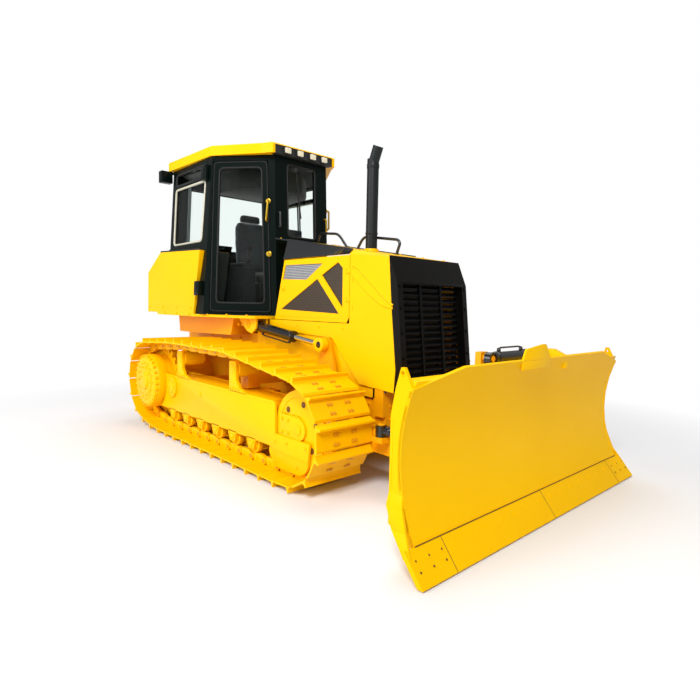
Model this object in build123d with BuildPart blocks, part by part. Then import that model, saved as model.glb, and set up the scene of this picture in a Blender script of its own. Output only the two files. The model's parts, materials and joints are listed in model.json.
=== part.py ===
"""Crawler bulldozer with a six-way blade, an angular cab and a narrow sloping hood.

Frame: +X forward, +Y left, +Z up, millimetres, the ground at z = 0 and the
origin under the middle of the machine's overall box.
"""
from build123d import *
import math
import os

os.makedirs("parts", exist_ok=True)

# ---------------------------------------------------------------- dimensions
FIT = 0.3                     # running gap between pieces that touch at rest

# tracks
TRACK_GAUGE = 1610.0          # centre of one track to the centre of the other
SHOE_WIDTH = 520.0
TRACK_PITCH = 190.0           # nominal link length
LINK_HALF = 38.0              # half height of a link plate
SHOE_PLATE = 12.0
GROUSER = 40.0
GROUSER_WIDTH = 18.0
RAIL_INNER = 60.0             # link plates, measured from the track's centre
RAIL_OUTER = 105.0
IDLER_X, IDLER_Z, IDLER_R = 820.0, 435.0, 290.0
SPROCKET_X, SPROCKET_Z, SPROCKET_PIN_R = -1750.0, 505.0, 370.0
SPROCKET_TEETH = 25
ROLLER_R = 80.0
ROLLER_COUNT = 7
ROLLER_FIRST_X, ROLLER_STEP = 500.0, 300.0
GROUND_REAR_X = -1490.0       # where the track starts to rise to the sprocket
CARRIER_R = 65.0
CARRIER_X = (-720.0, 150.0)
CARRIER_GUESS_Z = (817.0, 757.0)

# track frames
FRAME_IN, FRAME_OUT = 668.0, 942.0   # outer faces of its side plates
FRAME_PLATE = 22.0
FRAME_TOP, FRAME_FLOOR, FRAME_SKIRT = 620.0, 325.0, 255.0
FRAME_REAR_X, FRAME_FRONT_X = -1300.0, 640.0
BOX_FRONT_X = 490.0           # the box between the side plates ends short of the idler

# hull
HULL_HALF = 380.0
HULL_REAR_X, CASE_FRONT_X, HULL_FRONT_X = -2080.0, -560.0, 1180.0
HULL_FLOOR, CASE_TOP, RAIL_TOP = 360.0, 1060.0, 640.0
DECK_TOP = 1240.0

# hood, on both sides of the centre plane
HOOD_HALF = 420.0
HOOD_TOP_HALF = 368.0
HOOD_SHEET = 8.0
HOOD_REAR_X, HOOD_SPLIT_X, HOOD_FRONT_X = -330.0, 800.0, 1215.0
HOOD_FRONT_Z = 1722.0
HOOD_SLOPE = math.tan(math.radians(9.4))
DOOR_TOP_Z, DOOR_LOW_Z = 1755.0, 1215.0

# cab
CAB_WALL = 42.0
CAB_FLOOR_Z, CAB_BELT_Z, CAB_TOP_Z = DECK_TOP, 1900.0, 2765.0
ROOF_TOP_Z = 2860.0
GLASS = 8.0
GAP = 6.0                     # open seam round a door

# blade and its frame
ARM_PIVOT_X, ARM_PIVOT_Z, ARM_PIN_R = -300.0, 450.0, 38.0
ARM_IN, ARM_OUT = 450.0, 532.0
ARM_HALF = 85.0
YOKE_PIN_X, YOKE_Z = 1840.0, 380.0
BLADE_HALF = 1270.0           # over the end plates
EDGE_HALF = 1342.0            # over the end bits
BLADE_TOP = 1000.0
EDGE_LOW = 12.0
EDGE_THICK = 28.0
BLADE_TIP_X = 2350.0

PIVOT_SHAFT_X, PIVOT_SHAFT_Z = -1180.0, 508.0
BELLY_Z = 456.0

# tanks beside and behind the cab
TANK_IN, TANK_OUT, TANK_TOP = 485.0, 800.0, 1868.0
TANK_REAR_X, TANK_FRONT_LOW_X, TANK_FRONT_TOP_X = -2265.0, -1112.0, -967.0

# nose
GRILLE_HALF, GRILLE_LOW, GRILLE_TOP, GRILLE_SLATS = 362.0, 760.0, 1518.0, 16
EXHAUST_X, EXHAUST_Y = 485.0, 120.0
ENGINE_TOP = 1480.0

# cab outlines, left half from the front corner back: (x, y)
CAB_LOWER = [(-340, 320), (-930, 785), (-1815, 765)]
CAB_UPPER = [(-400, 315), (-890, 705), (-1765, 695)]
ROOF_PLAN = [(-338, 378), (-450, 432), (-890, 722), (-1790, 742)]
# door corners: distance from the rear post along the face, height
DOOR_HOLE = [(60, 1262), (700, 1262), (640, 2715), (95, 2715)]
DOOR_WINDOW = [(135, 1370), (628, 1370), (580, 2650), (160, 2650)]
SIDE_WINDOWS = (
    [(-1690, 1965), (-1035, 1965), (-1000, 2550), (-1680, 2550)],
    [(-1680, 2590), (-995, 2590), (-985, 2705), (-1675, 2705)],
)
REAR_GLASS_HALF, WINDSHIELD_HALF, LIGHT_BAR_HALF = 540.0, 170.0, 352.0

# cylinders
CYLINDER_Y = 497.0
LIFT_PIN_X, LIFT_PIN_Z, LIFT_PIN_R = -400.0, 1145.0, 22.0
LIFT_EYE_X, LIFT_EYE_Z = 550.0, 1030.0
LUG_IN, LUG_OUT = 436.0, 461.0
CROSS_FRONT_X = 1650.0
YOKE_PIN_R = 34.0
ANGLE_PIN_X, ANGLE_PIN_Y, ANGLE_PIN_R, ANGLE_Z = 1340.0, 590.0, 20.0, 480.0
ANGLE_EYE_X, ANGLE_EYE_Y = 1950.0, 350.0
TILT_PIN_R = 40.0
TILT_CYL_X, TILT_CYL_Y, TILT_EYE_Y, TILT_CYL_Z = 2030.0, 340.0, 330.0, 1035.0
BLADE_BACK_X = 2050.0
SKIN_R, SKIN_X, SKIN_Z, SKIN, SKIN_LOW = 900.0, 3021.0, 590.0, 16.0, 165.0

SIDES = (("right", -1), ("left", 1))


def hood_z(x):
    """Height of the hood's sloping top edge at a station along the machine."""
    return HOOD_FRONT_Z + (HOOD_FRONT_X - x) * HOOD_SLOPE


def between(side, inner, outer):
    """Low and high Y of a piece on one side of the centre plane."""
    return sorted((side * inner, side * outer))


def slab(points, y_low, y_high, mode=Mode.ADD):
    """Plate with a side-view outline of (x, z) points, between two Y planes."""
    with BuildSketch(Plane.XZ.offset(-y_high), mode=Mode.PRIVATE) as outline:
        with BuildLine():
            Polyline(*points, close=True)
        make_face()
    extrude(outline.sketch, amount=y_high - y_low, mode=mode)


def block(x_low, x_high, y_low, y_high, z_low, z_high, mode=Mode.ADD):
    """Square-cornered solid between six planes."""
    with Locations(((x_low + x_high) / 2, (y_low + y_high) / 2, (z_low + z_high) / 2)):
        Box(x_high - x_low, y_high - y_low, z_high - z_low, mode=mode)


def bar(start, end, radius, mode=Mode.ADD):
    """Round bar between the centres of its two end faces."""
    axis = Vector(*end) - Vector(*start)
    with BuildSketch(Plane(origin=start, z_dir=axis), mode=Mode.PRIVATE) as face:
        Circle(radius)
    extrude(face.sketch, amount=axis.length, mode=mode)


def plan_prism(points, z_low, z_high, mode=Mode.ADD):
    """Solid with a plan outline of (x, y) points, between two heights."""
    with BuildSketch(Plane.XY.offset(z_low), mode=Mode.PRIVATE) as outline:
        with BuildLine():
            Polyline(*points, close=True)
        make_face()
    extrude(outline.sketch, amount=z_high - z_low, mode=mode)


def both_sides(half_outline):
    """Full plan outline from its left half, listed from front to rear."""
    return [*half_outline, *[(x, -y) for x, y in reversed(half_outline)]]


def keep(part, name):
    """Label a finished piece and write it."""
    part.label = name
    export_step(part, f"parts/{name}.step")


# ---------------------------------------------------------------- track path
def belt_points():
    """Pin centres of the track chain, evenly spaced round its path."""
    rail = LINK_HALF
    circles = [
        (IDLER_X, IDLER_Z, IDLER_Z - PIN_Z),
        (GROUND_REAR_X, PIN_Z + 120.0, 120.0),
        (SPROCKET_X, SPROCKET_Z, SPROCKET_PIN_R),
        *[(x, z, CARRIER_R + rail + 5.0) for x, z in zip(CARRIER_X, CARRIER_GUESS_Z)],
    ]
    count = len(circles)
    normals = []
    for i, (x1, z1, r1) in enumerate(circles):
        x2, z2, r2 = circles[(i + 1) % count]
        run = math.hypot(x2 - x1, z2 - z1)
        normals.append(math.atan2(z2 - z1, x2 - x1) + math.acos((r1 - r2) / run))
    pieces = []
    for i, (x, z, r) in enumerate(circles):
        turn = (normals[i - 1] - normals[i]) % math.tau
        pieces.append(("arc", (x, z, r, normals[i - 1]), turn * r))
        x2, z2, r2 = circles[(i + 1) % count]
        a = normals[i]
        start = (x + r * math.cos(a), z + r * math.sin(a))
        end = (x2 + r2 * math.cos(a), z2 + r2 * math.sin(a))
        pieces.append(("line", (start, end), math.dist(start, end)))
    total = sum(length for _, _, length in pieces)
    links = round(total / TRACK_PITCH)
    pins = []
    for k in range(links):
        rest = k * total / links
        for form, data, length in pieces:
            if rest <= length:
                break
            rest -= length
        if form == "arc":
            x, z, r, first = data
            a = first - rest / r
            pins.append((x + r * math.cos(a), z + r * math.sin(a)))
        else:
            (xa, za), (xb, zb) = data
            t = rest / length
            pins.append((xa + (xb - xa) * t, za + (zb - za) * t))
    return pins


PIN_Z = LINK_HALF + SHOE_PLATE + GROUSER
PINS = belt_points()


def under_upper_run(x, reach):
    """Height of a centre that stays a distance inside the upper run of the chain."""
    heights = []
    for (xa, za), (xb, zb) in zip(PINS, PINS[1:] + PINS[:1]):
        if min(za, zb) > SPROCKET_Z and abs(xb - xa) > TRACK_PITCH / 2:
            slope = (zb - za) / (xb - xa)
            heights.append(za + slope * (x - xa) - reach * math.hypot(1, slope))
    return min(heights)


CARRIERS = [(x, under_upper_run(x, LINK_HALF + CARRIER_R + FIT)) for x in CARRIER_X]


def belt_outline(stations):
    """Closed outline round the chain: (share of the link, height over the pin line)."""
    points = []
    for (xa, za), (xb, zb) in zip(PINS, PINS[1:] + PINS[:1]):
        pitch = math.dist((xa, za), (xb, zb))
        tx, tz = (xb - xa) / pitch, (zb - za) / pitch
        for share, height in stations:
            points.append((xa + tx * share * pitch - tz * height, za + tz * share * pitch + tx * height))
    return points


SHOE_FACE = LINK_HALF + SHOE_PLATE
TIP = SHOE_FACE + GROUSER
TIP_SHARE = GROUSER_WIDTH / TRACK_PITCH
# shoe profile: share of the link, height over the pin line
SHOE_STATIONS = ((0.05, SHOE_FACE), (0.10, TIP), (0.10 + TIP_SHARE, TIP), (0.26, SHOE_FACE), (0.96, SHOE_FACE))
LINK_STATIONS = ((0.10, -0.72 * LINK_HALF), (0.24, -LINK_HALF), (0.76, -LINK_HALF), (0.90, -0.72 * LINK_HALF))


def band(outer, inner, y_low, y_high):
    """Closed loop of sheet between two outlines, between two Y planes."""
    with BuildSketch(Plane.XZ.offset(-y_high), mode=Mode.PRIVATE) as loop:
        with BuildLine():
            Polyline(*outer, close=True)
        make_face()
        with BuildLine():
            Polyline(*inner, close=True)
        make_face(mode=Mode.SUBTRACT)
    extrude(loop.sketch, amount=y_high - y_low)


def polar(radius, degrees):
    """Point in side view at a radius round the idler's centre."""
    a = math.radians(degrees)
    return IDLER_X + radius * math.cos(a), IDLER_Z + radius * math.sin(a)


TRACK_Y = TRACK_GAUGE / 2
INNER_HALF = (FRAME_OUT - FRAME_IN) / 2 - FRAME_PLATE - FIT
GUARD_R = IDLER_R + 10
ROLLER_Z = PIN_Z + LINK_HALF + ROLLER_R + FIT
ROLLER_X = [ROLLER_FIRST_X - k * ROLLER_STEP for k in range(ROLLER_COUNT)]

for name, side in SIDES:
    middle = side * TRACK_Y

    with BuildPart() as track:
        inner_face = belt_outline(((0.04, LINK_HALF), (0.96, LINK_HALF)))
        band(belt_outline(SHOE_STATIONS), inner_face, middle - SHOE_WIDTH / 2, middle + SHOE_WIDTH / 2)
        seat = LINK_HALF + SHOE_PLATE / 2
        for rail_side in (-1, 1):
            low, high = sorted((middle + rail_side * RAIL_INNER, middle + rail_side * RAIL_OUTER))
            band(belt_outline(((0.04, seat), (0.96, seat))), belt_outline(LINK_STATIONS), low, high)
    keep(track.part, f"track_{name}")

    # drive sprocket with the final drive's drum and its hub cap
    with BuildPart() as sprocket:
        step = math.tau / SPROCKET_TEETH
        root, tip = SPROCKET_PIN_R - 32, SPROCKET_PIN_R + 12
        teeth = []
        for tooth in range(SPROCKET_TEETH):
            for share, radius in ((-0.30, root), (-0.14, tip), (0.14, tip), (0.30, root)):
                a = (tooth + share) * step
                teeth.append((SPROCKET_X + radius * math.cos(a), SPROCKET_Z + radius * math.sin(a)))
        slab(teeth, middle - 27, middle + 27)
        # radius, inner and outer distance from the centre plane
        for radius, y_in, y_out in (
            (250, HULL_HALF, TRACK_Y + 20),
            (278, TRACK_Y + 20, TRACK_Y + 150),
            (235, TRACK_Y + 150, TRACK_Y + 185),
            (120, TRACK_Y + 185, TRACK_Y + 200),
        ):
            low, high = between(side, y_in, y_out)
            bar((SPROCKET_X, low, SPROCKET_Z), (SPROCKET_X, high, SPROCKET_Z), radius)
    keep(sprocket.part, f"sprocket_{name}")

    # front idler: two treads, a centre flange and a hub between the fork arms
    with BuildPart() as idler:
        for half, radius in ((RAIL_OUTER + 4, IDLER_R), (RAIL_INNER - 4, IDLER_R + 16)):
            bar((IDLER_X, middle - half, IDLER_Z), (IDLER_X, middle + half, IDLER_Z), radius)
        for face in (-1, 1):
            low, high = sorted((middle + face * 30, middle + face * (RAIL_OUTER + 5)))
            bar((IDLER_X, low, IDLER_Z), (IDLER_X, high, IDLER_Z), IDLER_R - 50, mode=Mode.SUBTRACT)
        bar((IDLER_X, middle - INNER_HALF, IDLER_Z), (IDLER_X, middle + INNER_HALF, IDLER_Z), 80)
    keep(idler.part, f"idler_{name}")

    # bottom rollers on axles between the frame's side plates, carrier rollers on posts
    with BuildPart() as rollers:
        for x in ROLLER_X:
            bar((x, middle - RAIL_OUTER - 3, ROLLER_Z), (x, middle + RAIL_OUTER + 3, ROLLER_Z), ROLLER_R)
            bar((x, middle - INNER_HALF, ROLLER_Z), (x, middle + INNER_HALF, ROLLER_Z), 30)
        for x, z in CARRIERS:
            bar((x, middle - 110, z), (x, middle + 110, z), CARRIER_R)
            low, high = between(side, FRAME_IN, TRACK_Y)
            bar((x, low, z), (x, high, z), 24)
            low, high = between(side, FRAME_IN, FRAME_IN + FRAME_PLATE)
            slab([(x - 70, FRAME_TOP), (x + 70, FRAME_TOP), (x + 32, z + 32), (x - 32, z + 32)], low, high)
    keep(rollers.part, f"rollers_{name}")

    with BuildPart() as track_frame:
        block(FRAME_REAR_X + 70, BOX_FRONT_X, middle - INNER_HALF - 1, middle + INNER_HALF + 1, FRAME_FLOOR, FRAME_TOP)
        for y_in, y_out in ((FRAME_IN, FRAME_IN + FRAME_PLATE), (FRAME_OUT - FRAME_PLATE, FRAME_OUT)):
            low, high = between(side, y_in, y_out)
            slab(
                [(FRAME_REAR_X, 540), (FRAME_REAR_X + 70, FRAME_TOP), (FRAME_FRONT_X, FRAME_TOP),
                 (FRAME_FRONT_X, FRAME_SKIRT), (FRAME_REAR_X - 20, FRAME_SKIRT), (FRAME_REAR_X - 40, 420)],
                low, high,
            )
            for x in ROLLER_X:
                drop = ROLLER_Z - 42
                slab([(x - 70, 270), (x - 40, drop), (x + 40, drop), (x + 70, 270)], low, high)
            # arm that carries the idler's axle
            slab([(FRAME_FRONT_X - 10, 345), (FRAME_FRONT_X - 10, 525), (IDLER_X, 517), (IDLER_X, 353)], low, high)
            bar((IDLER_X, low, IDLER_Z), (IDLER_X, high, IDLER_Z), 82)
            # guard beside the idler's lower half, its front edge following the idler
            with BuildSketch(Plane.XZ.offset(-high), mode=Mode.PRIVATE) as guard:
                with BuildLine():
                    top_front, bottom = polar(GUARD_R, -5), polar(GUARD_R, -79)
                    Polyline(top_front, (BOX_FRONT_X, 385), (BOX_FRONT_X, 150), bottom)
                    ThreePointArc(bottom, polar(GUARD_R, -40), top_front)
                make_face()
            extrude(guard.sketch, amount=high - low)
        low, high = between(side, FRAME_OUT, FRAME_OUT + 20)
        bar((PIVOT_SHAFT_X, low, PIVOT_SHAFT_Z), (PIVOT_SHAFT_X, high, PIVOT_SHAFT_Z), 95)
    keep(track_frame.part, f"track_frame_{name}")

# ---------------------------------------------------------------- hull
with BuildPart() as main_frame:
    block(HULL_REAR_X, CASE_FRONT_X, -HULL_HALF, HULL_HALF, HULL_FLOOR, CASE_TOP)
    block(CASE_FRONT_X, HULL_FRONT_X, -HULL_HALF, HULL_HALF, BELLY_Z - 16, BELLY_Z)
    for _, side in SIDES:
        low, high = between(side, HULL_HALF - 80, HULL_HALF)
        block(CASE_FRONT_X, HULL_FRONT_X, low, high, BELLY_Z, RAIL_TOP)
        low, high = between(side, HULL_HALF, HOOD_HALF - HOOD_SHEET)
        block(HULL_FRONT_X - 90, HULL_FRONT_X, low, high, RAIL_TOP - 120, RAIL_TOP + 120)
        block(HULL_FRONT_X - 90, HULL_FRONT_X, *between(side, HULL_HALF - 80, HULL_HALF), RAIL_TOP, RAIL_TOP + 120)
        # trunnion of the blade frame
        low, high = between(side, HULL_HALF - 80, ARM_IN - 2)
        block(ARM_PIVOT_X - 110, ARM_PIVOT_X + 110, low, high, ARM_PIVOT_Z - 80, ARM_PIVOT_Z + 100)
        low, high = between(side, ARM_IN - 2, ARM_OUT + 1)
        bar((ARM_PIVOT_X, low, ARM_PIVOT_Z), (ARM_PIVOT_X, high, ARM_PIVOT_Z), ARM_PIN_R)
    block(HULL_FRONT_X - 30, HULL_FRONT_X, -HULL_HALF + 80, HULL_HALF - 80, BELLY_Z, RAIL_TOP + 120)
    # support of the deck, reaching over both tracks
    slab([(-1880, DECK_TOP - 25), (-1850, 1030), (-1500, 1030), (-720, 1045), (-660, DECK_TOP - 25)], -600, 600)
keep(main_frame.part, "main_frame")

with BuildPart() as cross_bars:
    reach = FRAME_IN
    for _, side in SIDES:
        low, high = between(side, HULL_HALF, reach)
        bar((PIVOT_SHAFT_X, low, PIVOT_SHAFT_Z), (PIVOT_SHAFT_X, high, PIVOT_SHAFT_Z), 75)
    # equalizer bar: rests on both track frames and passes over the blade frame's arms
    slab([(-160, 650), (-160, 740), (-40, 740), (-40, 650)], -HULL_HALF - 440, HULL_HALF + 440)
    for _, side in SIDES:
        low, high = between(side, FRAME_IN + 30, HULL_HALF + 440)
        block(-160, -40, low, high, FRAME_TOP, 650)
keep(cross_bars.part, "cross_bars")

with BuildPart() as drawbar:
    block(HULL_REAR_X - 110, HULL_REAR_X, -300, 300, 420, 900)
    plan_prism([(HULL_REAR_X - 110, 180), (BLADE_TIP_X * -1, 90), (BLADE_TIP_X * -1, -90), (HULL_REAR_X - 110, -180)], 520, 580)
    with Locations((-BLADE_TIP_X + 80, 0, 550)):
        Hole(26, depth=80)
keep(drawbar.part, "drawbar")

with BuildPart() as deck:
    plan_prism(both_sides([(-300, 590), (-330, 620), (-1110, 800), (-2000, 800)]), DECK_TOP - 25, DECK_TOP)
    for _, side in SIDES:
        for y_in, y_out in ((CYLINDER_Y - 66, CYLINDER_Y - 48), (CYLINDER_Y + 48, CYLINDER_Y + 66)):
            low, high = between(side, y_in, y_out)
            slab([(-640, DECK_TOP - 25), (-480, LIFT_PIN_Z - 50), (LIFT_PIN_X, LIFT_PIN_Z - 72), (-330, LIFT_PIN_Z - 20),
                  (-320, DECK_TOP - 25)], low, high)
        low, high = between(side, CYLINDER_Y - 50, CYLINDER_Y + 50)
        bar((LIFT_PIN_X, low, LIFT_PIN_Z), (LIFT_PIN_X, high, LIFT_PIN_Z), LIFT_PIN_R)
keep(deck.part, "deck")

# ---------------------------------------------------------------- tanks
for name, side in SIDES:
    with BuildPart() as tank:
        low, high = between(side, TANK_IN, TANK_OUT)
        slab([(TANK_FRONT_LOW_X, DECK_TOP), (TANK_FRONT_TOP_X, TANK_TOP), (-1900, TANK_TOP + 30), (TANK_REAR_X + 20, 1690),
              (TANK_REAR_X, DECK_TOP)], low, high)
    keep(tank.part, f"side_tank_{name}")

with BuildPart() as rear_tank:
    slab([(-1815, DECK_TOP), (-1815, TANK_TOP + 20), (-1900, TANK_TOP + 30), (TANK_REAR_X + 20, 1690), (TANK_REAR_X, DECK_TOP)],
         -TANK_IN, TANK_IN)
keep(rear_tank.part, "rear_tank")

# ---------------------------------------------------------------- hood and engine
def hood_section(x, shoulder_z):
    """Cross-section of the hood's sheet at a station: top, shoulders and open underside."""
    top = hood_z(x)
    half = [(HOOD_HALF, shoulder_z), (HOOD_TOP_HALF, top)]
    inner = [(HOOD_TOP_HALF - 6, top - HOOD_SHEET), (HOOD_HALF - HOOD_SHEET - 3, shoulder_z)]
    outline = [*half, *[(-y, z) for y, z in reversed(half)], *[(-y, z) for y, z in reversed(inner)], *inner]
    with BuildSketch(Plane.YZ.offset(x), mode=Mode.PRIVATE) as section:
        with BuildLine():
            Polyline(*outline, close=True)
        make_face()
    return section.sketch


with BuildPart() as hood_top:
    loft([hood_section(HOOD_REAR_X, DOOR_TOP_Z), hood_section(HOOD_SPLIT_X, DOOR_TOP_Z)], ruled=True)
    for _, side in SIDES:
        low, high = between(side, HOOD_TOP_HALF - 20, HOOD_HALF + 20)
        slab([(HOOD_REAR_X - 20, 1700), (-100, 1700), (-20, 2100), (HOOD_REAR_X - 20, 2100)], low, high, mode=Mode.SUBTRACT)
    bar((EXHAUST_X, EXHAUST_Y, ENGINE_TOP), (EXHAUST_X, EXHAUST_Y, 2640), 58, mode=Mode.SUBTRACT)
keep(hood_top.part, "hood_top")

COWL_FRONT = [(HOOD_FRONT_X, HOOD_FRONT_Z), (1250, 1330), (1302, 895), (1290, 722)]
with BuildPart() as front_cowl:
    loft([hood_section(HOOD_SPLIT_X, DOOR_TOP_Z), hood_section(HOOD_FRONT_X, HOOD_FRONT_Z - 12)], ruled=True)
    for _, side in SIDES:
        low, high = between(side, HOOD_HALF - HOOD_SHEET, HOOD_HALF)
        slab([(HOOD_SPLIT_X, DOOR_TOP_Z), (HOOD_FRONT_X, HOOD_FRONT_Z - 12), *COWL_FRONT[1:], (925, 745), (590, 1085),
              (HOOD_REAR_X + 20, 1125), (HOOD_REAR_X + 20, DOOR_LOW_Z - 5), (HOOD_SPLIT_X, DOOR_LOW_Z - 5)], low, high)
keep(front_cowl.part, "front_cowl")

for name, side in SIDES:
    with BuildPart() as engine_door:
        low, high = between(side, HOOD_HALF - HOOD_SHEET, HOOD_HALF)
        slab([(-285, DOOR_LOW_Z), (-98, DOOR_TOP_Z - 5), (HOOD_SPLIT_X - 5, DOOR_TOP_Z - 5), (HOOD_SPLIT_X - 5, DOOR_LOW_Z)], low, high)
        # openings of the mesh panels
        for hole in ([(-90, 1650), (230, 1690), (30, 1470), (-150, 1470)], [(-200, 1260), (330, 1260), (75, 1500)],
                     [(420, 1690), (680, 1690), (680, 1300), (600, 1300), (380, 1650)]):
            pass
    keep(engine_door.part, f"engine_door_{name}")

with BuildPart() as nose_surround:
    slab([COWL_FRONT[0], (1297, 1530), (1386, 722), *reversed(COWL_FRONT[1:])], -HOOD_HALF, HOOD_HALF)
    block(1150, 1450, -GRILLE_HALF, GRILLE_HALF, GRILLE_LOW, GRILLE_TOP, mode=Mode.SUBTRACT)
    block(1150, 1240, -GRILLE_HALF, GRILLE_HALF, GRILLE_TOP - 10, HOOD_FRONT_Z - 60, mode=Mode.SUBTRACT)
keep(nose_surround.part, "nose_surround")

with BuildPart() as grille:
    pitch = (GRILLE_TOP - GRILLE_LOW) / GRILLE_SLATS
    for k in range(GRILLE_SLATS):
        z = GRILLE_LOW + (k + 0.5) * pitch
        x = 1297 + (1530 - z) * 0.11 - 40
        slab([(x - 25, z + 8), (x, z - 12), (x, z - 4), (x - 25, z + 16)], -GRILLE_HALF + FIT, GRILLE_HALF - FIT)
    for y in (-GRILLE_HALF + 12, -GRILLE_HALF * 0.34, GRILLE_HALF * 0.34, GRILLE_HALF - 12):
        slab([(1240, GRILLE_TOP - FIT), (1264, GRILLE_TOP - FIT), (1347, GRILLE_LOW + FIT), (1323, GRILLE_LOW + FIT)], y - 12 + FIT, y + 12 - FIT)
keep(grille.part, "grille")

with BuildPart() as engine:
    block(250, 1030, -290, 290, BELLY_Z, ENGINE_TOP)
keep(engine.part, "engine")

with BuildPart() as radiator:
    block(1060, HULL_FRONT_X - 30, -295, 295, BELLY_Z, 1640)
keep(radiator.part, "radiator")

with BuildPart() as exhaust:
    bar((EXHAUST_X, EXHAUST_Y, ENGINE_TOP), (EXHAUST_X, EXHAUST_Y, 2640), 52)
    bar((EXHAUST_X, EXHAUST_Y, 2600), (EXHAUST_X + 60, EXHAUST_Y, 2740), 46)
keep(exhaust.part, "exhaust_stack")

# ---------------------------------------------------------------- cab
def cab_loft(inset, mode=Mode.ADD):
    """Tapering body of the cab, with its walls moved in by an inset."""
    sections = []
    for z, outline in ((CAB_FLOOR_Z, CAB_LOWER), (CAB_TOP_Z, CAB_UPPER)):
        with BuildSketch(Plane.XY.offset(z), mode=Mode.PRIVATE) as section:
            with BuildLine():
                Polyline(*both_sides(outline), close=True)
            make_face()
            if inset:
                offset(amount=-inset, kind=Kind.INTERSECTION)
        sections.append(section.sketch)
    loft(sections, ruled=True, mode=mode)


def door_prism(side, corners, mode):
    """Prism through one of the cab's angled faces; corners are (distance from the rear post, height)."""
    (ax, ay), (bx, by) = CAB_LOWER[0], CAB_LOWER[1]
    length = math.dist((ax, ay), (bx, by))
    along = Vector((ax - bx) / length, side * (ay - by) / length, 0)
    outward = Vector(-side * along.Y, side * along.X, 0) if side > 0 else Vector(along.Y, -along.X, 0)
    plane = Plane(origin=(bx, side * by, 0), x_dir=along, z_dir=outward)
    with BuildSketch(plane, mode=Mode.PRIVATE) as outline:
        with BuildLine():
            Polyline(*[(u, z * plane.y_dir.Z) for u, z in corners], close=True)
        make_face()
    extrude(outline.sketch, amount=150, both=True, mode=mode)


def grown(corners, amount):
    """Four door corners (low rear, low front, top front, top rear) moved outward."""
    signs = ((-1, -1), (1, -1), (1, 1), (-1, 1))
    return [(u + su * amount, z + sz * amount) for (u, z), (su, sz) in zip(corners, signs)]


def window_prisms(mode):
    """Prisms through the walls for the fixed windows."""
    for _, side in SIDES:
        low, high = between(side, 600, 900)
        for corners in SIDE_WINDOWS:
            slab(corners, low, high, mode=mode)
    block(-1900, -1650, -REAR_GLASS_HALF, REAR_GLASS_HALF, 1960, 2600, mode=mode)
    block(-480, -200, -WINDSHIELD_HALF, WINDSHIELD_HALF, 2010, 2700, mode=mode)


with BuildPart() as cab_frame:
    cab_loft(0)
    cab_loft(CAB_WALL, mode=Mode.SUBTRACT)
    for _, side in SIDES:
        low, high = between(side, TANK_IN - FIT, 900)
        slab([(-1900, 1200), (-1900, TANK_TOP + 35), (TANK_FRONT_TOP_X + 4, TANK_TOP + 5), (TANK_FRONT_LOW_X - 6, 1200)], low, high, mode=Mode.SUBTRACT)
        low, high = between(side, TANK_IN - 40, TANK_IN - FIT)
        slab([(-1790, CAB_FLOOR_Z), (-1790, TANK_TOP + 60), (TANK_FRONT_TOP_X, TANK_TOP + 60), (TANK_FRONT_LOW_X, CAB_FLOOR_Z)], low, high)
        low, high = between(side, TANK_IN - 40, 745)
        slab([(-1790, TANK_TOP + 37), (-1790, TANK_TOP + 60), (-960, TANK_TOP + 60), (-960, TANK_TOP + 37)], low, high)
        door_prism(side, DOOR_HOLE, Mode.SUBTRACT)
    plan_prism(both_sides([(-382, 290), (-930, 735), (-1085, 735), (-1085, TANK_IN - 40), (-1780, TANK_IN - 40)]), CAB_FLOOR_Z, CAB_FLOOR_Z + 20)
    window_prisms(Mode.SUBTRACT)
keep(cab_frame.part, "cab_frame")

with BuildPart() as cab_glass:
    window_prisms(Mode.ADD)
    cab_loft(14, mode=Mode.INTERSECT)
    cab_loft(14 + GLASS, mode=Mode.SUBTRACT)
keep(cab_glass.part, "cab_glass")

for name, side in SIDES:
    with BuildPart() as door:
        cab_loft(0)
        cab_loft(34, mode=Mode.SUBTRACT)
        door_prism(side, grown(DOOR_HOLE, -GAP), Mode.INTERSECT)
        door_prism(side, DOOR_WINDOW, Mode.SUBTRACT)
    keep(door.part, f"cab_door_{name}")
    with BuildPart() as door_glass:
        cab_loft(13)
        cab_loft(13 + GLASS, mode=Mode.SUBTRACT)
        door_prism(side, DOOR_WINDOW, Mode.INTERSECT)
    keep(door_glass.part, f"door_glass_{name}")

with BuildPart() as roof:
    plan_prism(both_sides(ROOF_PLAN), CAB_TOP_Z, ROOF_TOP_Z)
    chamfer(roof.faces().sort_by(Axis.Z)[-1].edges(), 12)
    block(-410, -300, -LIGHT_BAR_HALF, LIGHT_BAR_HALF, CAB_TOP_Z - 20, ROOF_TOP_Z - 14, mode=Mode.SUBTRACT)
keep(roof.part, "roof")

with BuildPart() as light_bar:
    block(-410, -346, -LIGHT_BAR_HALF + FIT, LIGHT_BAR_HALF - FIT, CAB_TOP_Z + FIT, ROOF_TOP_Z - 14 - FIT)
    for y in (-220, -73, 73, 220):
        block(-346, -332, y - 30, y + 30, 2778, 2834)
keep(light_bar.part, "light_bar")

with BuildPart() as seat:
    block(-1300, -800, -240, 240, 1560, 1680)
    slab([(-1300, 1680), (-1200, 1680), (-1290, 2290), (-1370, 2290)], -230, 230)
keep(seat.part, "seat")

with BuildPart() as seat_base:
    block(-1280, -840, -200, 200, CAB_FLOOR_Z + 20, 1560)
keep(seat_base.part, "seat_base")

with BuildPart() as controls:
    for _, side in SIDES:
        low, high = between(side, 270, 400)
        block(-1280, -800, low, high, CAB_FLOOR_Z + 20, 1720)
        bar((-830, side * 335, 1715), (-810, side * 335, 1850), 14)
        with Locations((-810, side * 335, 1870)):
            Sphere(28)
    block(-520, -425, -190, 190, CAB_FLOOR_Z + 20, 1850)
keep(controls.part, "controls")

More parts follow.
